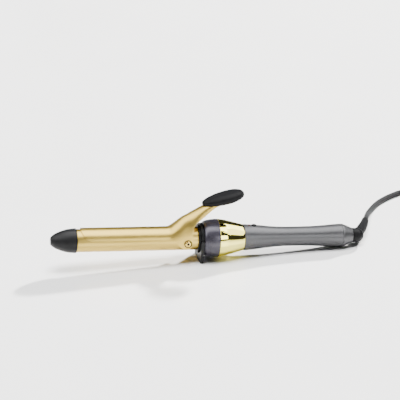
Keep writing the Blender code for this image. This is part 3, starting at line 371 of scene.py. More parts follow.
def show(name, bm, material):
    """Turns bm into an object of the scene."""
    mesh = bpy.data.meshes.new(name)
    bm.to_mesh(mesh)
    bm.free()
    mesh.materials.append(material)
    obj = bpy.data.objects.new(name, mesh)
    bpy.context.scene.collection.objects.link(obj)
    return obj


def keep(name, bm, material, sharp=SHARP, matrix=IRON_MM):
    """Cleans bm and makes it a piece. matrix takes it to the row frame; None leaves metres."""
    bmesh.ops.remove_doubles(bm, verts=bm.verts, dist=1e-5 if matrix is not None else 1e-8)
    bmesh.ops.recalc_face_normals(bm, faces=bm.faces)
    obj = show(name, bm, material)
    if matrix is not None:
        obj.data.transform(matrix)
    shade(obj.data, sharp)
    return obj


def settle(obj, body, slot, *replaced):
    """Puts a finished piece on its body, in the place of the replaced nodes. The slot is not used."""
    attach(obj, body)
    if replaced:
        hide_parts(*replaced)


def weights(t):
    """Shares of a curve's start, start slope, end and end slope at t from 0 to 1."""
    return 2 * t**3 - 3 * t**2 + 1, t**3 - 2 * t**2 + t, 3 * t**2 - 2 * t**3, t**3 - t**2


def flow(points, per=5):
    """More points along a smooth curve through the given ones."""
    points = [Vector(p) for p in points]
    out = []
    for k in range(len(points) - 1):
        low, high = points[k], points[k + 1]
        before, after = points[max(k - 1, 0)], points[min(k + 2, len(points) - 1)]
        span = (high - low).length
        start = (high - before).normalized() * span if k else (high - low)
        end = (after - low).normalized() * span if k + 2 < len(points) else (high - low)
        for step in range(per):
            a, b, c, d = weights(step / per)
            out.append(low * a + start * b + high * c + end * d)
    out.append(points[-1])
    return [tuple(p) for p in out]


def soften(outline, corners):
    """Rounds corners of an outline. corners maps a corner's index to its radius."""
    steps = 4
    points = [Vector(p) for p in outline]
    out = []
    for k, point in enumerate(points):
        reach = corners.get(k, 0.0)
        if not reach:
            out.append(tuple(point))
            continue
        before = (points[k - 1] - point).normalized() * reach
        after = (points[(k + 1) % len(points)] - point).normalized() * reach
        for step in range(steps + 1):
            t = step / steps
            out.append(tuple(point + before * (1 - t) ** 2 + after * t**2))
    return out


def turned(points, centre, axis, steps, closed=False):
    """Turns a line of points about an axis through centre."""
    bm = bmesh.new()
    verts = [bm.verts.new(point) for point in points]
    pairs = list(zip(verts, verts[1:]))
    if closed:
        pairs.append((verts[-1], verts[0]))
    edges = [bm.edges.new(pair) for pair in pairs]
    bmesh.ops.spin(
        bm, geom=verts + edges, cent=centre, axis=axis, angle=2.0 * math.pi, steps=steps,
        use_merge=True,
    )
    return bm


def revolve(name, outline, material, steps=144, closed=False, sharp=SHARP):
    """Turns an outline of (station, radius) about the iron's axis."""
    points = [(station, 0.0, r) for station, r in outline]
    bm = turned(points, (0.0, 0.0, 0.0), (1.0, 0.0, 0.0), steps, closed)
    return keep(name, bm, material, sharp)


def revolve_on(name, outline, material, foot, axis, steps=64, closed=False):
    """Turns an outline of (height, radius) about any line of the iron's frame."""
    axis = Vector(axis).normalized()
    side = axis.orthogonal().normalized()
    foot = Vector(foot)
    points = [foot + axis * height + side * r for height, r in outline]
    return keep(name, turned(points, foot, axis, steps, closed), material)


def skin(bm, rings, ends=True):
    """Joins equal rings of points into a tube, closed at its ends unless told otherwise."""
    rows = [[bm.verts.new(point) for point in ring] for ring in rings]
    for row, after in zip(rows, rows[1:]):
        for k in range(len(row)):
            nxt = (k + 1) % len(row)
            bm.faces.new((row[k], row[nxt], after[nxt], after[k]))
    if ends:
        bm.faces.new(rows[0])
        bm.faces.new(rows[-1])


def bevel(obj, width, segments, angle):
    """Rounds edges sharper than an angle; the width is in millimetres."""
    modifier = obj.modifiers.new("edge", "BEVEL")
    modifier.width = width * MM
    modifier.segments = segments
    modifier.limit_method = "ANGLE"
    modifier.angle_limit = math.radians(angle)
    modifier.harden_normals = True


def apply_modifiers(obj):
    graph = bpy.context.evaluated_depsgraph_get()
    graph.update()
    mesh = bpy.data.meshes.new_from_object(obj.evaluated_get(graph))
    obj.modifiers.clear()
    obj.data = mesh


RANK_WEIGHTS = (1.0, 17.31, 311.7)


def rank(verts):
    """A number for where some corners are, which puts a mesh's parts in the same order each run."""
    x, y, z = (sum(sorted(vert.co[i] for vert in verts)) for i in range(3))
    return x * RANK_WEIGHTS[0] + y * RANK_WEIGHTS[1] + z * RANK_WEIGHTS[2]


def slice_at(bm, point, normal, **clear):
    """Cuts bm at a plane, clears one side of it and returns the edges of the cut.

    They are put in order, so that the cut is filled with the same triangles each time.
    """
    bm.verts.sort(key=lambda vert: rank([vert]))
    bm.edges.sort(key=lambda edge: rank(edge.verts))
    bm.faces.sort(key=lambda face: rank(face.verts))
    cut = bmesh.ops.bisect_plane(
        bm, geom=bm.verts[:] + bm.edges[:] + bm.faces[:], plane_co=point, plane_no=normal, **clear,
    )
    rim = [item for item in cut["geom_cut"] if isinstance(item, bmesh.types.BMEdge)]
    return sorted(rim, key=lambda edge: rank(edge.verts))


def carve(obj, cutter):
    """Takes cutter's shape out of obj and removes cutter."""
    modifier = obj.modifiers.new("carve", "BOOLEAN")
    modifier.operation = "DIFFERENCE"
    modifier.solver = "EXACT"
    modifier.object = cutter
    apply_modifiers(obj)
    bpy.data.objects.remove(cutter, do_unlink=True)


def join(first, others):
    """Adds the meshes of others to first; all are written in the same frame."""
    bm = bmesh.new()
    for obj in [first, *others]:
        bm.from_mesh(obj.data)
    bm.to_mesh(first.data)
    bm.free()
    for obj in others:
        bpy.data.objects.remove(obj, do_unlink=True)


def through(table, at):
    """Values at a place in a table of (place, value, ...), along a smooth curve."""
    keys = [row[0] for row in table]
    k = max(i for i in range(len(keys) - 1) if keys[i] <= at or i == 0)
    before, low, high = table[max(k - 1, 0)], table[k], table[k + 1]
    after = table[min(k + 2, len(table) - 1)]
    span = high[0] - low[0]
    a, b, c, d = weights((at - low[0]) / span)
    values = []
    for i in range(1, len(low)):
        start = (high[i] - before[i]) / max(high[0] - before[0], 1e-9) * span
        end = (after[i] - low[i]) / max(after[0] - low[0], 1e-9) * span
        values.append(a * low[i] + b * start + c * high[i] + d * end)
    return values


def heading(route, k):
    """The direction of a line of points at its point k."""
    return (route[min(k + 1, len(route) - 1)] - route[max(k - 1, 0)]).normalized()


def turns(count):
    """Equal angles all the way round."""
    return [2.0 * math.pi * k / count for k in range(count)]


def oval(turn, power):
    """A point of a unit circle, which is squarer for a power under one."""
    c = math.cos(turn)
    s = math.sin(turn)
    return math.copysign(abs(c) ** power, c), math.copysign(abs(s) ** power, s)


# ---- barrel and tip


def build_tip():
    """A blunt cone with a plug that goes into the barrel."""
    outline = flow([
        (0.3, 4.45), (1.0, 5.15), (2.4, 6.35), (4.8, 8.0), (8.6, 9.75), (12.4, 11.2), (16.2, 12.25),
        (20.0, 12.95), (24.0, 13.4), (27.3, 13.65),
    ])
    outline = [(0.0, 0.0), (0.0, 3.9), (0.08, 4.2)] + outline
    outline += [(27.8, 13.6), (TIP_END, 13.3), (TIP_END, 11.2), (36.0, 11.2), (36.0, 0.0)]
    tip = revolve("cool_tip_moulding", outline, LOOK["black_plastic"])
    settle(tip, BODY, "black_plastic", "cool_tip")


def build_barrel():
    start = TIP_END + 0.3
    outline = soften(
        [(start, BARREL_BORE_R), (start, BARREL_R), (BARREL_END, BARREL_R), (BARREL_END, BARREL_BORE_R)],
        {0: 0.2, 1: 0.45, 2: 0.2, 3: 0.2},
    )
    barrel = revolve("barrel_tube_skin", outline, LOOK["satin_gold"], closed=True)
    settle(barrel, BODY, "satin_gold_barrel", "barrel_tube")


build_tip()
build_barrel()

# ---- clip

# The arch of the sheet: station, top line, half width, height where it turns straight down
ARCH = (
    (20.0, 14.0, 14.0, 0.0), (120.0, 14.0, 14.0, 0.0), (127.0, 14.0, 14.0, 0.0),
    (131.0, 14.6, 14.0, 0.0), (137.0, 19.0, 14.1, 0.0), (144.0, 25.0, 14.2, 0.0),
    (151.0, 29.1, 14.2, 0.6), (156.0, 32.0, 14.0, 2.6), (160.0, 34.3, 13.2, 7.0),
    (165.0, 37.0, 11.4, 14.5), (170.0, 39.6, 9.7, 21.5), (176.0, 42.0, 8.3, 28.5),
    (184.0, 44.2, 7.2, 34.5), (193.0, 46.4, 6.5, 38.5), (200.0, 48.0, 6.0, 41.5),
)
# Its rows: station on the top line, station and height of the row's lower end
ROWS = (
    (32.4, 45.5, 3.7), (39.0, 49.0, 3.7), (50.0, 54.0, 3.7), (88.0, 88.0, 3.7),
    (124.0, 124.0, 3.7), (129.5, 131.0, 3.6), (133.0, 134.6, 3.0), (136.0, 137.2, 1.2),
    (139.0, 139.6, -1.6), (141.7, 141.8, -4.5), (144.2, 144.2, -6.6), (146.6, 146.9, -7.7),
    (149.0, 150.2, -7.9), (151.2, 152.8, -6.9), (153.0, 154.3, -4.2), (154.8, 154.9, 0.6),
    (156.6, 155.3, 7.0), (158.6, 156.0, 12.6), (160.8, 157.4, 18.2), (163.4, 159.9, 21.6),
    (166.6, 163.4, 24.8), (170.6, 168.3, 28.5), (175.4, 174.4, 33.4), (182.0, 181.2, 38.4),
    (189.6, 189.2, 41.4),
)
FOLD_START = 150.0
FOLD_LENGTH = 30.0
FOLD_DEPTH = 0.36


def corner(station):
    """1 where the sheet follows a plain arch, smaller where it is folded into a channel."""
    share = min(1.0, max(0.0, (station - FOLD_START) / FOLD_LENGTH))
    return 1.0 - FOLD_DEPTH * share * share * (3.0 - 2.0 * share)


def clip_point(station, turn):
    """A point of the sheet's outside; turn runs from the top line down one side."""
    top, half, spring = through(ARCH, station)
    if turn <= 0.5 * math.pi:
        fold = corner(station)
        across = half * math.sin(turn) ** fold
        return Vector((station, across, spring + (top - spring) * max(0.0, math.cos(turn)) ** fold))
    return Vector((station, half, spring - half * (turn - 0.5 * math.pi)))


def edge_turn(station, height):
    """The turn at which the sheet comes down to a height."""
    top, half, spring = through(ARCH, station)
    if height >= spring:
        return math.acos(((height - spring) / (top - spring)) ** (1.0 / corner(station)))
    return 0.5 * math.pi + (spring - height) / half


def build_clip():
    """One pressed sheet: trough, ears and lever arm."""
    columns = 26
    per = 3
    table = [(float(k), *row) for k, row in enumerate(ROWS)]
    bm = bmesh.new()
    grid = []
    for i in range((len(ROWS) - 1) * per + 1):
        at = i / per
        first, edge, height = through(table, min(at, len(ROWS) - 1.0001))
        last = edge_turn(edge, height)
        front = max(0.0, 1.0 - at)
        row = []
        for column in range(-columns, columns + 1):
            share = abs(column) / columns
            slant = 1.0 - math.sqrt(1.0 - min(share, 0.999) ** 2)
            lead = front * slant + (1.0 - front) * share**2
            point = clip_point(first + (edge - first) * lead, last * share)
            if column < 0:
                point.y = -point.y
            row.append(bm.verts.new(point))
        grid.append(row)
    for row, after in zip(grid, grid[1:]):
        for k in range(len(row) - 1):
            bm.faces.new((row[k], after[k], after[k + 1], row[k + 1]))
    bm.normal_update()
    for face in bm.faces:
        face.smooth = True
    obj = show("clip_sheet", bm, LOOK["satin_gold"])
    obj.data.transform(IRON_MM)
    wall = obj.modifiers.new("sheet", "SOLIDIFY")
    wall.thickness = CLIP_THICK * MM
    wall.offset = -1.0
    wall.use_even_offset = True
    bevel(obj, 0.28, 3, 50.0)
    apply_modifiers(obj)
    obj.data.shade_smooth()
    settle(obj, "clip", "satin_gold_clip", "clip")


def build_pivot_screw(side, word):
    """A shoulder screw with a socket in it. The dark ring round its head is painted shade of a groove
    and the dark disc in the socket is painted shade.
    """
    head = [
        (6.6, 0.0), (6.6, 2.0), (14.5, 2.0), (14.5, 4.4), (14.8, 4.4), (14.8, 3.6),
        (15.25, 3.5), (15.9, 2.6), (16.0, 1.5), (15.4, 1.25), (15.4, 0.0),
    ]
    head = soften(head, {4: 0.1, 6: 0.2, 7: 0.6, 8: 0.15})
    axis = (0.0, side, 0.0)
    screw = revolve_on(f"pivot_screw_{word}_turned", head, LOOK["screw"], PIVOT, axis, 72)
    settle(screw, BODY, "screw_steel", f"pivot_screw_{word}")
    # A thin dark ring on the washer round the head: painted shade where a groove would be.
    groove = revolve_on(
        f"pivot_groove_painted_shade_{word}", [(14.78, 3.55), (14.97, 3.55), (14.97, 4.4), (14.78, 4.4)],
        LOOK["neck_black"], PIVOT, axis, 72, closed=True,
    )
    settle(groove, BODY, "black_plastic")
    # A dark disc at the bottom of the socket: painted shade in the recess.
    socket = [(15.39, 0.0), (15.39, 1.3), (15.6, 1.3), (15.6, 0.0)]
    dot = revolve_on(f"pivot_socket_painted_shade_{word}", socket, LOOK["neck_black"], PIVOT, axis, 40)
    settle(dot, BODY, "black_plastic")


def build_clip_spring():
    """A folded leaf spring with an upper and a lower leg; it is put on no body, so neither leg moves
    with the clip.
    """
    low = BARREL_R + 0.35
    fold_x, fold_r = 140.2, 0.9
    half_width, thick = 3.0, 0.5
    path = [(160.8, low), (155.0, low), (149.0, low), (143.0, low), (fold_x, low + 0.15)]
    for k in range(1, 8):
        turn = math.radians(-90.0 - 28.0 * k)
        path.append((fold_x + fold_r * math.cos(turn), low + 1.05 + fold_r * math.sin(turn)))
    path += [(144.0, 18.6), (150.0, 24.4), (155.0, 28.6), (157.8, 30.6)]
    line = [Vector((x, 0.0, z)) for x, z in flow(path, 4)]
    rings = []
    for k, point in enumerate(line):
        along = heading(line, k)
        under = Vector((along.z, 0.0, -along.x)) * thick
        end = min(k, len(line) - 1 - k)
        half = half_width - (0.9, 0.3, 0.08)[end] if end < 3 else half_width
        rings.append([
            point + Vector((0.0, -half, 0.0)), point + Vector((0.0, half, 0.0)),
            point + under + Vector((0.0, half, 0.0)), point + under + Vector((0.0, -half, 0.0)),
        ])
    bm = bmesh.new()
    skin(bm, rings)
    spring = keep("clip_leaf_spring", bm, LOOK["screw"], 50.0)
    bevel(spring, 0.12, 2, 50.0)
    apply_modifiers(spring)
    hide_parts("clip_spring")
    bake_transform(spring)


build_clip()
build_pivot_screw(-1.0, "left")
build_pivot_screw(1.0, "right")
build_clip_spring()

# ---- thumb rest

# Share of the pad's length from its front end, half width, half thickness
PAD = (
    (0.0, 0.7, 0.6), (0.008, 2.2, 1.6), (0.03, 3.8, 2.7), (0.1, 6.3, 3.85), (0.22, 9.2, 4.9),
    (0.38, 11.6, 5.7), (0.55, 12.6, 6.0), (0.7, 12.3, 5.9), (0.84, 10.3, 5.2), (0.94, 6.9, 3.9),
    (0.985, 3.5, 2.3), (0.997, 1.6, 1.1), (1.0, 0.6, 0.5),
)


def build_pad():
    """An oval pad whose section is a little squarer than an ellipse."""
    power = 0.8
    rings = []
    shares = [0.5 - 0.5 * math.cos(math.pi * k / 56) for k in range(57)]
    for share in shares:
        half, thick = through(PAD, min(share, 0.99999))
        along = (share - 0.5) * PAD_LENGTH
        ring = []
        for turn in turns(72):
            across, up = oval(turn, power)
            up *= thick
            ring.append(PAD_CENTRE + Vector((
                along * math.cos(PAD_SLOPE) - up * math.sin(PAD_SLOPE), across * half,
                along * math.sin(PAD_SLOPE) + up * math.cos(PAD_SLOPE),
            )))
        rings.append(ring)
    bm = bmesh.new()
    skin(bm, rings)
    pad = keep("thumb_rest_moulding", bm, LOOK["pad_black"], 60.0)
    settle(pad, "clip", "black_plastic", "thumb_rest")


build_pad()

# ---- neck and stand


def build_neck():
    """A ring round the barrel's root with a flange over its upper half."""
    core = soften(
        [(162.7, 13.0), (162.7, 15.2), (168.5, 15.2), (168.5, 13.0)], {0: 0.2, 1: 0.5, 2: 0.1, 3: 0.1}
    )
    bm = bmesh.new()
    rings = [[(s, r * math.cos(t), r * math.sin(t)) for s, r in core] for t in turns(120)]
    skin(bm, rings + [rings[0]], ends=False)
    start = math.asin(FLANGE_LOW_Z / FLANGE_R)
    arc = [start + (math.pi - 2.0 * start) * k / 60 for k in range(61)]
    rim = [(165.0, 14.6), (165.0, FLANGE_R), (168.5, FLANGE_R), (168.5, 14.6)]
    rim = soften(rim, {1: 0.4, 2: 0.4})
    skin(bm, [[(s, r * math.cos(t), r * math.sin(t)) for s, r in rim] for t in arc])
    neck = keep("neck_ring_moulding", bm, LOOK["neck_black"])
    settle(neck, BODY, "black_plastic", "neck_ring")


def build_stand():
    """A plate with an arch that clears the neck and a knuckle on each pin."""
    right = [
        (STAND_HALF_WIDTH, STAND_PIN.z), (STAND_HALF_WIDTH, -6.0), (17.5, -14.0), (16.5, -20.5),
        (15.6, -24.0), (15.3, -25.5),
    ]
    inner = [(STAND_ARCH_R, STAND_PIN.z)]
    for k in range(19):
        turn = math.radians(5.0 * k)
        inner.append((STAND_ARCH_R * math.cos(turn), -1.0 - STAND_ARCH_R * math.sin(turn)))
    outline = right + [(-y, z) for y, z in reversed(right)]
    outline += [(-y, z) for y, z in inner] + inner[-2::-1]
    bm = bmesh.new()
    face = bm.faces.new([bm.verts.new((STAND_FRONT, y, z)) for y, z in outline])
    out = bmesh.ops.extrude_face_region(bm, geom=[face])
    moved = [item for item in out["geom"] if isinstance(item, bmesh.types.BMVert)]
    bmesh.ops.translate(bm, verts=moved, vec=(STAND_THICK, 0.0, 0.0))
    bmesh.ops.transform(bm, matrix=IRON_MM, verts=bm.verts)
    foot_rim = slice_at(bm, UP * STAND_FOOT_Z * MM, UP, clear_inner=True)
    bmesh.ops.holes_fill(bm, edges=foot_rim)
    stand = keep("stand_moulding", bm, LOOK["black_plastic"], matrix=None)
    bevel(stand, 0.45, 3, 40.0)
    apply_modifiers(stand)
    outline = soften([(15.62, 0.0), (15.62, 1.72), (17.98, 1.72), (17.98, 0.0)], {1: 0.2, 2: 0.3})
    knuckles = []
    for axis in ((0.0, -1.0, 0.0), (0.0, 1.0, 0.0)):
        knuckle = revolve_on("knuckle", outline, LOOK["black_plastic"], STAND_PIN, axis, 40)
        knuckles.append(knuckle)
    join(stand, knuckles)
    settle(stand, "stand", "black_plastic", "stand")


build_neck()
build_stand()

# ---- collar, band and handle

SHELL = [
    (215.2, 14.6), (220.0, 14.35), (226.0, 13.95), (232.0, 13.4), (240.0, 12.5), (249.0, 11.6),
    (259.0, 11.0), (270.0, 10.8), (283.0, 10.85), (296.0, 11.1), (306.5, 11.75), (317.0, 12.5),
    (325.5, 12.9), (327.2, 12.9),
]


def build_collar():
    outline = flow([
        (168.9, 17.7), (169.6, 18.6), (172.2, 19.6), (176.6, 20.5), (181.0, 21.0), (185.2, 21.2),
    ], 6)
    outline = [(168.8, 13.1), (168.8, 17.3)] + outline
    outline += [(185.5, 21.05), (185.5, 17.2), (170.8, 17.2), (170.8, 13.1)]
    collar = revolve("collar_moulding", outline, LOOK["collar_grey"], closed=True)
    settle(collar, BODY, "dark_grey", "collar")


def build_band():
    """A hollow shell: a wide front face, a crease and a cone down to the handle."""
    front = flow([(186.0, 21.2), (190.0, 20.72), (194.3, 20.0)], 6)
    back = flow([(195.4, 19.62), (205.0, 17.2), (214.4, 14.75)], 4)
    outline = [(185.8, 19.5), (185.8, 21.05)] + front + [(194.75, 19.86)] + back
    outline += [(214.6, 14.6), (214.6, 13.1), (205.0, 15.6), (194.9, 18.2)]
    band = revolve("gold_band_shell", outline, LOOK["mirror_gold"], 192, closed=True, sharp=24.0)
    settle(band, BODY, "mirror_gold", "gold_band")


def half_shell(name, side, holes):
    """One half of the handle, side 1 above the seam or -1 under it.

    A hole is (station, height where it starts, height where it ends, radius).
    """
    outer = flow(SHELL, 4)
    inner = [(station, r - SHELL_WALL) for station, r in reversed(outer) if station > 219.0]
    outline = [(186.2, 10.9), (186.2, SHELL_NECK_R), (214.9, SHELL_NECK_R), (214.9, 14.35)] + outer
    outline += [(327.4, 12.75)] + inner + [(217.0, 10.9)]
    shell = revolve(name, outline, LOOK["handle_grey"], 160, closed=True)
    bm = bmesh.new()
    bm.from_mesh(shell.data)
    bmesh.ops.transform(bm, matrix=IRON_MM.inverted(), verts=bm.verts)
    seam = UP * (SEAM_Z + side * SEAM_HALF_GAP)
    rim = slice_at(bm, seam, UP, clear_inner=side > 0.0, clear_outer=side < 0.0)
    bmesh.ops.triangle_fill(bm, edges=rim, use_beauty=True)
    bmesh.ops.transform(bm, matrix=IRON_MM, verts=bm.verts)
    bmesh.ops.recalc_face_normals(bm, faces=bm.faces)
    bm.to_mesh(shell.data)
    bm.free()
    shade(shell.data)
    for station, low, high, radius in holes:
        outline = [(low, 0.0), (low, radius), (high, radius), (high, 0.0)]
        foot = (station, 0.0, 0.0)
        carve(shell, revolve_on("cutter", outline, None, foot, UP, 48))
    shade(shell.data)
    return shell


def build_shells():
    """Both halves, with a hole for the button and the lens above and screw wells below."""
    windows = [(BUTTON_STATION, 8.0, 20.0, 3.0), (LENS_STATION, 8.0, 20.0, 1.55)]
    upper = half_shell("handle_upper_skin", 1.0, windows)
    settle(upper, BODY, "handle_grey", "handle_upper_shell")
    wells = [(station, -20.0, -8.0, 2.9) for station in HANDLE_SCREWS.values()]
    lower = half_shell("handle_lower_skin", -1.0, wells)
    settle(lower, BODY, "handle_grey", "handle_lower_shell")


def build_screw_seats():
    """The bottoms of the screw wells."""
    outline = [(-8.25, 0.0), (-8.25, 3.6), (-9.2, 3.6), (-9.2, 0.0)]
    for word, station in HANDLE_SCREWS.items():
        foot = (station, 0.0, 0.0)
        seat = revolve_on(f"screw_seat_{word}", outline, LOOK["handle_grey"], foot, UP, 40)
        settle(seat, BODY, "handle_grey")


def build_cap():
    outline = flow([(REST_STATION, REST_R), (330.3, 12.35), (334.8, 10.45), (339.6, 8.4)], 5)
    outline = [(327.7, 11.1), (327.7, 12.75), (327.9, 12.9)] + outline
    outline += [(340.1, 8.1), (340.2, 7.85), (340.2, 4.9), (338.2, 4.9), (338.2, 7.0), (331.0, 10.2)]
    cap = revolve("rear_cap_moulding", outline, LOOK["handle_grey"], closed=True)
    settle(cap, BODY, "handle_grey", "rear_cap")


def build_button():
    """A cap with a flange under the shell, which keeps it in."""
    outline = [(6.6, 0.0), (6.6, 1.6), (10.0, 1.6), (10.0, 3.8), (11.0, 3.8), (11.0, 2.7)]
    outline += flow([(14.3, 2.7), (14.75, 2.5), (14.95, 1.9), (15.0, 1.0)], 3) + [(15.0, 0.0)]
    foot = (BUTTON_STATION, 0.0, 0.0)
    button = revolve_on("power_button_cap", outline, LOOK["black_plastic"], foot, UP)
    settle(button, "power_button", "black_plastic", "power_button")


def build_lens():
    outline = [(6.6, 0.0), (6.6, 1.25), (14.4, 1.25)]
    outline += flow([(14.7, 1.15), (14.88, 0.8), (14.95, 0.3)], 3) + [(14.95, 0.0)]
    foot = (LENS_STATION, 0.0, 0.0)
    lens = revolve_on("indicator_lens_moulding", outline, LOOK["lens"], foot, UP, 40)
    settle(lens, BODY, "lens_red", "indicator_lens")


build_collar()
build_band()
build_shells()
build_screw_seats()
build_cap()
build_button()
build_lens()

# ---- swivel and strain relief

# The middle line of the relief, seen from above
BOOT = (
    (348.55, 4.59), (350.2, 7.45), (353.1, 12.5), (356.5, 18.6), (360.0, 25.4), (363.5, 33.0),
    (366.5, 40.8), (367.2, 42.7),
)
# Share of its length and radius there
BOOT_R = (
    (0.0, 5.6), (0.08, 5.6), (0.2, 5.55), (0.36, 5.35), (0.55, 5.0), (0.76, 4.55), (0.93, 4.2),
    (1.0, 4.0),
)


def build_swivel():
    """A housing with a domed end, cut square to the strain relief."""
    outline = [(343.9, 0.0), (343.9, 4.9), (340.5, 4.9), (340.5, 7.4), (340.65, 7.7), (341.0, 7.9)]
    for k in range(20):
        turn = 0.5 * math.pi * k / 20
        outline.append((SWIVEL_X + SWIVEL_R * math.sin(turn), SWIVEL_R * math.cos(turn)))
    outline.append((SWIVEL_X + SWIVEL_R, 0.0))
    housing = revolve("swivel_housing_moulding", outline, LOOK["neck_black"], 96)
    seat = IRON_MM @ (Vector((SWIVEL_X, 0.0, 0.0)) + BOOT_OUT * BOOT_SEAT)
    bm = bmesh.new()
    bm.from_mesh(housing.data)
    rim = slice_at(bm, seat, IRON.to_3x3() @ BOOT_OUT, clear_outer=True)
    bmesh.ops.holes_fill(bm, edges=rim)
    bm.to_mesh(housing.data)
    bm.free()
    shade(housing.data)
    settle(housing, SWIVEL, "black_plastic", "swivel_housing")


def ring_round(point, along, radius):
    """A ring of points square to a level direction."""
    side = Vector((-along.y, along.x, 0.0))
    return [point + radius * (math.cos(t) * side + math.sin(t) * UP) for t in turns(48)]


def build_boot():
    """A curved taper. Returns the point and the direction in which the cord leaves it."""
    route = [Vector((x, y, 0.0)) for x, y in flow(BOOT, 5)]
    total = sum((b - a).length for a, b in zip(route, route[1:]))
    rings = []
    gone = 0.0
    for k, point in enumerate(route):
        along = heading(route, k)
        gone += (point - route[max(k - 1, 0)]).length
        radius = through(BOOT_R, min(gone / total, 0.9999))[0]
        rings.append(ring_round(point, along, radius))
    foot = route[0] + (route[1] - route[0]).normalized() * 0.3
    rings[0] = ring_round(foot, BOOT_OUT, 5.45)
    for forward, radius in ((0.25, 3.55), (0.25, 3.2), (-0.3, CORD_BORE_R), (-9.0, CORD_BORE_R)):
        rings.append(ring_round(point + along * forward, along, radius))
    bm = bmesh.new()
    skin(bm, rings)
    boot = keep("strain_relief_moulding", bm, LOOK["black_rubber"])
    settle(boot, SWIVEL, "black_rubber", "strain_relief")
    return point, along


build_swivel()
boot_end, boot_along = build_boot()

# ---- cord

# Layer and lane of each turn; lane 1 is the outermost
TURNS = ((0, 1.0), (0, 0.0), (0, -1.0), (1, -1.0), (1, 0.0), (1, 1.0), (2, 1.0), (2, 0.0))
TURN_COUNT = 7.25
TURN_STEPS = 72
CROSSING = 0.82
# The free lead from the relief to the coil and the tail from the coil to the plug
LEAD = (
    (193.7, 52.5, 9.1), (198.6, 65.5, 6.9), (204.2, 79.0, 4.7), (212.0, 93.5, 3.3),
    (223.6, 109.6, CORD_FLOOR_Z), (239.6, 124.4, CORD_FLOOR_Z), (258.0, 136.0, CORD_FLOOR_Z),
    (273.6, 141.2, CORD_FLOOR_Z), (288.0, 142.4, CORD_FLOOR_Z),
)
TAIL = (
    (345.6, 84.0, 14.0), (348.6, 74.0, 12.0), (350.6, 64.0, 9.0), (351.5, 56.0, 7.2),
    (PLUG_X, 50.0, 6.85),
)


def coil_route():
    """Clockwise turns seen from above: inwards on the floor, outwards above, then on top."""
    points = []
    for i in range(int(TURN_COUNT * TURN_STEPS) + 1):
        at = i / TURN_STEPS
        index = min(int(at), len(TURNS) - 1)
        inside = at - index
        layer, lane = TURNS[index]
        if inside > CROSSING and index + 1 < len(TURNS) and at < TURN_COUNT - 0.2:
            t = (inside - CROSSING) / (1.0 - CROSSING)
            t = t * t * (3.0 - 2.0 * t)
            next_layer, next_lane = TURNS[index + 1]
            layer += (next_layer - layer) * t
            lane += (next_lane - lane) * t
        angle = 0.5 * math.pi - 2.0 * math.pi * at
        lift = max(0.0, math.cos(angle - TIE_ANGLE)) ** 6
        radius = COIL_R + LANE * lane
        points.append((
            COIL_X + radius * math.cos(angle), COIL_Y + radius * math.sin(angle),
            CORD_FLOOR_Z + LAYER * layer + lift,
        ))
    return points


def whole_route():
    """The cord's middle line in metres, from inside the relief to inside the plug."""
    start = IRON @ (boot_end * MM)
    out = (IRON.to_3x3() @ boot_along).normalized()
    inside = [(start + out * step) / MM for step in (-0.007, -0.003, 0.0006)]
    coil = coil_route()
    route = flow([*inside, *LEAD], 8) + coil + flow([coil[-1], *TAIL], 6)[1:]
    return [Vector(point) * MM for point in route]


def even(route, spacing):
    """The same line with equal steps, and its length."""
    lengths = [0.0]
    for a, b in zip(route, route[1:]):
        lengths.append(lengths[-1] + (b - a).length)
    count = round(lengths[-1] / spacing)
    out = []
    k = 0
    for i in range(count + 1):
        want = lengths[-1] * i / count
        while k < len(lengths) - 2 and lengths[k + 1] < want:
            k += 1
        out.append(route[k].lerp(route[k + 1], (want - lengths[k]) / (lengths[k + 1] - lengths[k])))
    return out, lengths[-1]


def relax(route, rounds):
    """Takes the last small corners out of a route and keeps its ends."""
    for _ in range(rounds):
        route = [route[0], *(
            0.25 * a + 0.5 * b + 0.25 * c for a, b, c in zip(route, route[1:], route[2:])
        ), route[-1]]
    return route


def sweep(name, route, radius, material):
    """A round tube along a route, carried along without twist."""
    side = (route[1] - route[0]).normalized().orthogonal().normalized()
    rings = []
    for k, point in enumerate(route):
        along = heading(route, k)
        side = (side - along * side.dot(along)).normalized()
        up = along.cross(side)
        rings.append([
            point + radius * (math.cos(t) * side + math.sin(t) * up) for t in turns(20)
        ])
    bm = bmesh.new()
    skin(bm, rings)
    return keep(name, bm, material, 60.0, matrix=None)


def build_cord():
    """The whole cord. Returns it with its route and its length."""
    route, _ = even(whole_route(), 3.0 * MM)
    route, length = even(relax(route, 4), 2.5 * MM)
    cord = sweep("mains_cord", route, CORD_R * MM, LOOK["cord_grey"])
    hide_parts("cord", "cord_coil", "cord_tail")
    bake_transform(cord)
    return cord, route, length


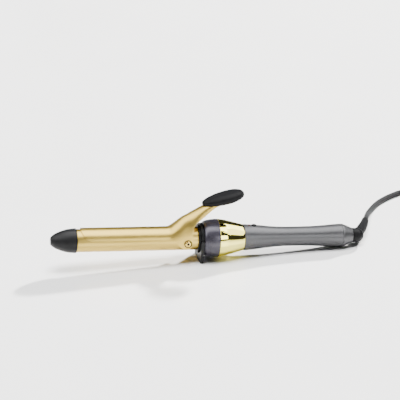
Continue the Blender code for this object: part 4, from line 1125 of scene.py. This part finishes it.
def build_tie():
    """A strap round the bundle, its two ends lapped on the outer side."""
    half_width = 4.5
    thick = 0.7
    lowest = 0.12
    out = Vector((math.cos(TIE_ANGLE), math.sin(TIE_ANGLE), 0.0))
    along = Vector((-out.y, out.x, 0.0))
    centre = Vector((COIL_X, COIL_Y, 0.0))
    # Distance from the coil's centre and height
    loop = [
        (25.3, 2.6), (26.3, 0.75), (28.6, 0.45), (34.9, 0.4), (41.4, 0.45), (43.7, 0.75),
        (44.7, 2.6), (44.75, 9.0), (44.6, 16.0), (43.4, 18.6), (41.2, 19.2), (34.9, 19.3),
        (31.5, 18.6), (28.6, 15.2), (26.2, 13.1), (25.25, 11.0), (25.2, 7.0), (25.3, 2.6),
    ]
    loop = flow(loop, 5)[:-1]
    rings = []
    for k, (r, z) in enumerate(loop):
        step = (Vector(loop[(k + 1) % len(loop)]) - Vector(loop[k - 1])).normalized()
        normal = Vector((step.y, -step.x))
        ring = []
        for wide, deep in (
            (-half_width, 0.0), (-half_width, thick), (half_width, thick), (half_width, 0.0),
        ):
            height = Vector((0.0, 0.0, max(z + normal.y * deep, lowest)))
            ring.append(centre + out * (r + normal.x * deep) + height + along * wide)
        rings.append(ring)
    bm = bmesh.new()
    skin(bm, rings + [rings[0]], ends=False)
    tie = keep("coil_tie_strap", bm, LOOK["strap"], matrix=ROW_MM)
    bevel(tie, 0.15, 2, 50.0)
    apply_modifiers(tie)
    settle(tie, BODY, "tie_black", "coil_tie")


# ---- plug

# Distance along Y from the iron's middle plane, half width, half height
PLUG = (
    (PLUG_FRONT_Y, 16.0, 5.6), (6.5, 16.8, 6.2), (8.0, 17.4, 6.6), (16.0, 17.6, 6.8),
    (24.0, 16.6, 6.75), (31.0, 13.2, 6.5), (37.0, 8.8, 6.1), (40.0, 7.2, 5.8), (41.5, 6.3, 5.4),
    (44.0, 5.9, 5.2), (50.0, 5.0, 4.7), (52.4, 4.6, 4.4), (PLUG_BACK_Y, 4.2, 4.0),
)


def plug_ring(y, half_width, half_height, power):
    ovals = [oval(turn, power) for turn in turns(64)]
    return [(PLUG_X + across * half_width, y, PLUG_Z + up * half_height) for across, up in ovals]


def build_plug():
    """A flat moulded plug: its face towards -Y, the cord's neck at the other end."""
    steps = 80
    flat = 0.55
    round_from, round_over = 30.0, 12.0
    rings = []
    for i in range(steps + 1):
        y = PLUG_FRONT_Y + (PLUG_BACK_Y - PLUG_FRONT_Y) * i / steps
        half_width, half_height = through(PLUG, min(y, PLUG_BACK_Y - 0.001))
        rounder = min(1.0, max(0.0, (y - round_from) / round_over))
        rings.append(plug_ring(y, half_width, half_height, flat + (1.0 - flat) * rounder))
    for y, radius in ((PLUG_BACK_Y, 3.3), (52.6, CORD_BORE_R), (48.0, CORD_BORE_R)):
        rings.append(plug_ring(y, radius, radius, 1.0))
    bm = bmesh.new()
    skin(bm, rings)
    body = keep("plug_moulding", bm, LOOK["black_rubber"], 40.0, matrix=ROW_MM)
    settle(body, BODY, "black_plastic", "plug_body")


def build_pin(name, x, outline, material, slot, *replaced):
    """Turns an outline of (Y, radius) about a line along Y."""
    points = [(x, y, PIN_Z + r) for y, r in outline]
    bm = turned(points, (x, 0.0, PIN_Z), (0.0, 1.0, 0.0), 40)
    settle(keep(f"{name}_turned", bm, material, matrix=ROW_MM), BODY, slot, *replaced)


def build_pins():
    """Round pins with a black sleeve round the root of each."""
    pin = [(-13.0, 0.0)] + flow([(-13.0, 0.9), (-12.7, 1.5), (-12.0, 1.92), (-11.0, 2.0)], 3)
    pin += [(5.7, 2.0), (5.7, 0.0)]
    sleeve = [(-4.5, 1.9), (-4.5, 2.05), (-4.3, 2.12), (6.2, 2.12)]
    for word, x in PINS.items():
        build_pin(f"plug_pin_{word}", x, pin, LOOK["brass"], "brass", f"plug_pin_{word}")
        build_pin(f"plug_pin_sleeve_{word}", x, sleeve, LOOK["black_rubber"], "black_plastic")


cord, route, cord_length = build_cord()
build_tie()
build_plug()
build_pins()

# ---- carried over pieces

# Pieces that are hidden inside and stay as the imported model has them, with their materials
CARRIED = {
    "steel": (
        "handle_screw_front", "handle_screw_rear", "heater_leaf_spring", "pivot_block",
        "stand_pin_left", "stand_pin_right", "thermal_fuse", "thumb_rest_screw",
    ),
    "heat_plastic": ("barrel_mount",),
    "mica": ("tip_insulator",),
    "aluminium": ("heater_block_upper", "heater_block_lower"),
    "ceramic": ("ptc_plate_front", "ptc_plate_rear", "temperature_sensor"),
    "board": ("control_board",),
    "black_plastic": ("controller_chip", "triac", "tact_switch", "swivel_spindle"),
    "blue": ("capacitor", "supply_lead_left"),
    "lens": ("indicator_led",),
    "white": ("heater_lead_left", "heater_lead_right", "sensor_lead"),
    "brown": ("supply_lead_right",),
    "brass": ("slip_ring_front", "slip_ring_rear", "contact_brush_left", "contact_brush_right"),
}
for paint, names in CARRIED.items():
    for name in names:
        nodes[name].data.materials.clear()
        nodes[name].data.materials.append(LOOK[paint])

# ---- studio

FLOOR_HALF = 9.0
WALL_R = 6.5
WALL_HEIGHT = 6.0
WALL_MIDDLE_Z = 2.9


def floor_surface():
    """An almost even pale table with a slight sheen."""
    tree = Tree("pale floor")
    patches = tree.noise(6.0)
    colour = tree.mix(tree.spread(patches, 0.0, 1.0), (0.86, 0.86, 0.86), (0.88, 0.88, 0.88))
    tree.link(colour, tree.shader.inputs["Base Color"])
    tree.link(tree.spread(patches, 0.16, 0.2), tree.shader.inputs["Roughness"])
    return tree.material


def wall_surface():
    """A white that shines by itself, so that no light has to reach the wall."""
    tree = Tree("pale wall")
    tree.fix(base_color=(0.0, 0.0, 0.0, 1.0), specular_ior_level=0.0)
    tree.fix(emission_color=(1.0, 1.0, 1.0, 1.0), emission_strength=1.9)
    return tree.material


def add_floor():
    bm = bmesh.new()
    bmesh.ops.create_grid(bm, x_segments=1, y_segments=1, size=FLOOR_HALF)
    show("floor", bm, floor_surface())


def add_backdrop():
    """A pale wall far round the floor, which lights nothing and shows in no reflection."""
    bm = bmesh.new()
    bmesh.ops.create_cone(
        bm, cap_ends=False, segments=96, radius1=WALL_R, radius2=WALL_R, depth=WALL_HEIGHT,
        matrix=Matrix.Translation((0.0, 0.0, WALL_MIDDLE_Z)),
    )
    wall = show("backdrop", bm, wall_surface())
    wall.visible_glossy = False
    wall.visible_diffuse = False


def add_light(name, place, aim, size, power, colour=(1.0, 1.0, 1.0), use="all"):
    """A softbox. use "floor" keeps it out of reflections, "shine" shows it only in them."""
    light = bpy.data.lights.new(name, "AREA")
    light.shape = "RECTANGLE"
    light.size, light.size_y = size
    light.energy = power
    light.color = colour
    obj = bpy.data.objects.new(name, light)
    obj.location = place
    obj.visible_glossy = use != "floor"
    obj.visible_diffuse = use != "shine"
    obj.rotation_euler = (Vector(aim) - Vector(place)).to_track_quat("-Z", "Y").to_euler()
    bpy.context.scene.collection.objects.link(obj)


def light_studio():
    """Two lights for the table and its shadows; the others are what the shiny pieces mirror."""
    world = bpy.data.worlds.new("studio")
    bpy.context.scene.world = world
    world.use_nodes = True
    sky = world.node_tree.nodes["Background"]
    sky.inputs["Color"].default_value = (1.0, 1.0, 1.0, 1.0)
    sky.inputs["Strength"].default_value = 0.045
    aim = (0.0, 0.0, 0.03)
    near = 1.5
    add_light("key", (3.2, 3.45, 2.85), aim, (0.45, 0.45), 1440.0, (1.0, 0.985, 0.96), "floor")
    add_light("overhead", (0.15, 0.0, 4.5), aim, (2.6, 2.6), 594.0, use="floor")
    add_light("canopy", (0.3, 0.08, 1.5), (0.3, 0.08, 0.0), (1.65, 1.65), 60.0, use="shine")
    add_light("front", direction(22.0, 19.0) * near, aim, (0.80, 0.56), 9.5, use="shine")
    add_light("right", direction(73.0, 39.0) * near, aim, (1.1, 0.62), 9.0, use="shine")
    add_light("back", direction(112.0, 47.0) * near, aim, (0.8, 0.48), 8.0, use="shine")
    add_light("left", direction(-80.0, 47.0) * near, aim, (1.8, 1.15), 34.0, use="shine")
    add_light("wall", (-0.9, 2.3, 0.7), aim, (2.2, 1.3), 6.0, use="shine")


add_floor()
add_backdrop()
light_studio()
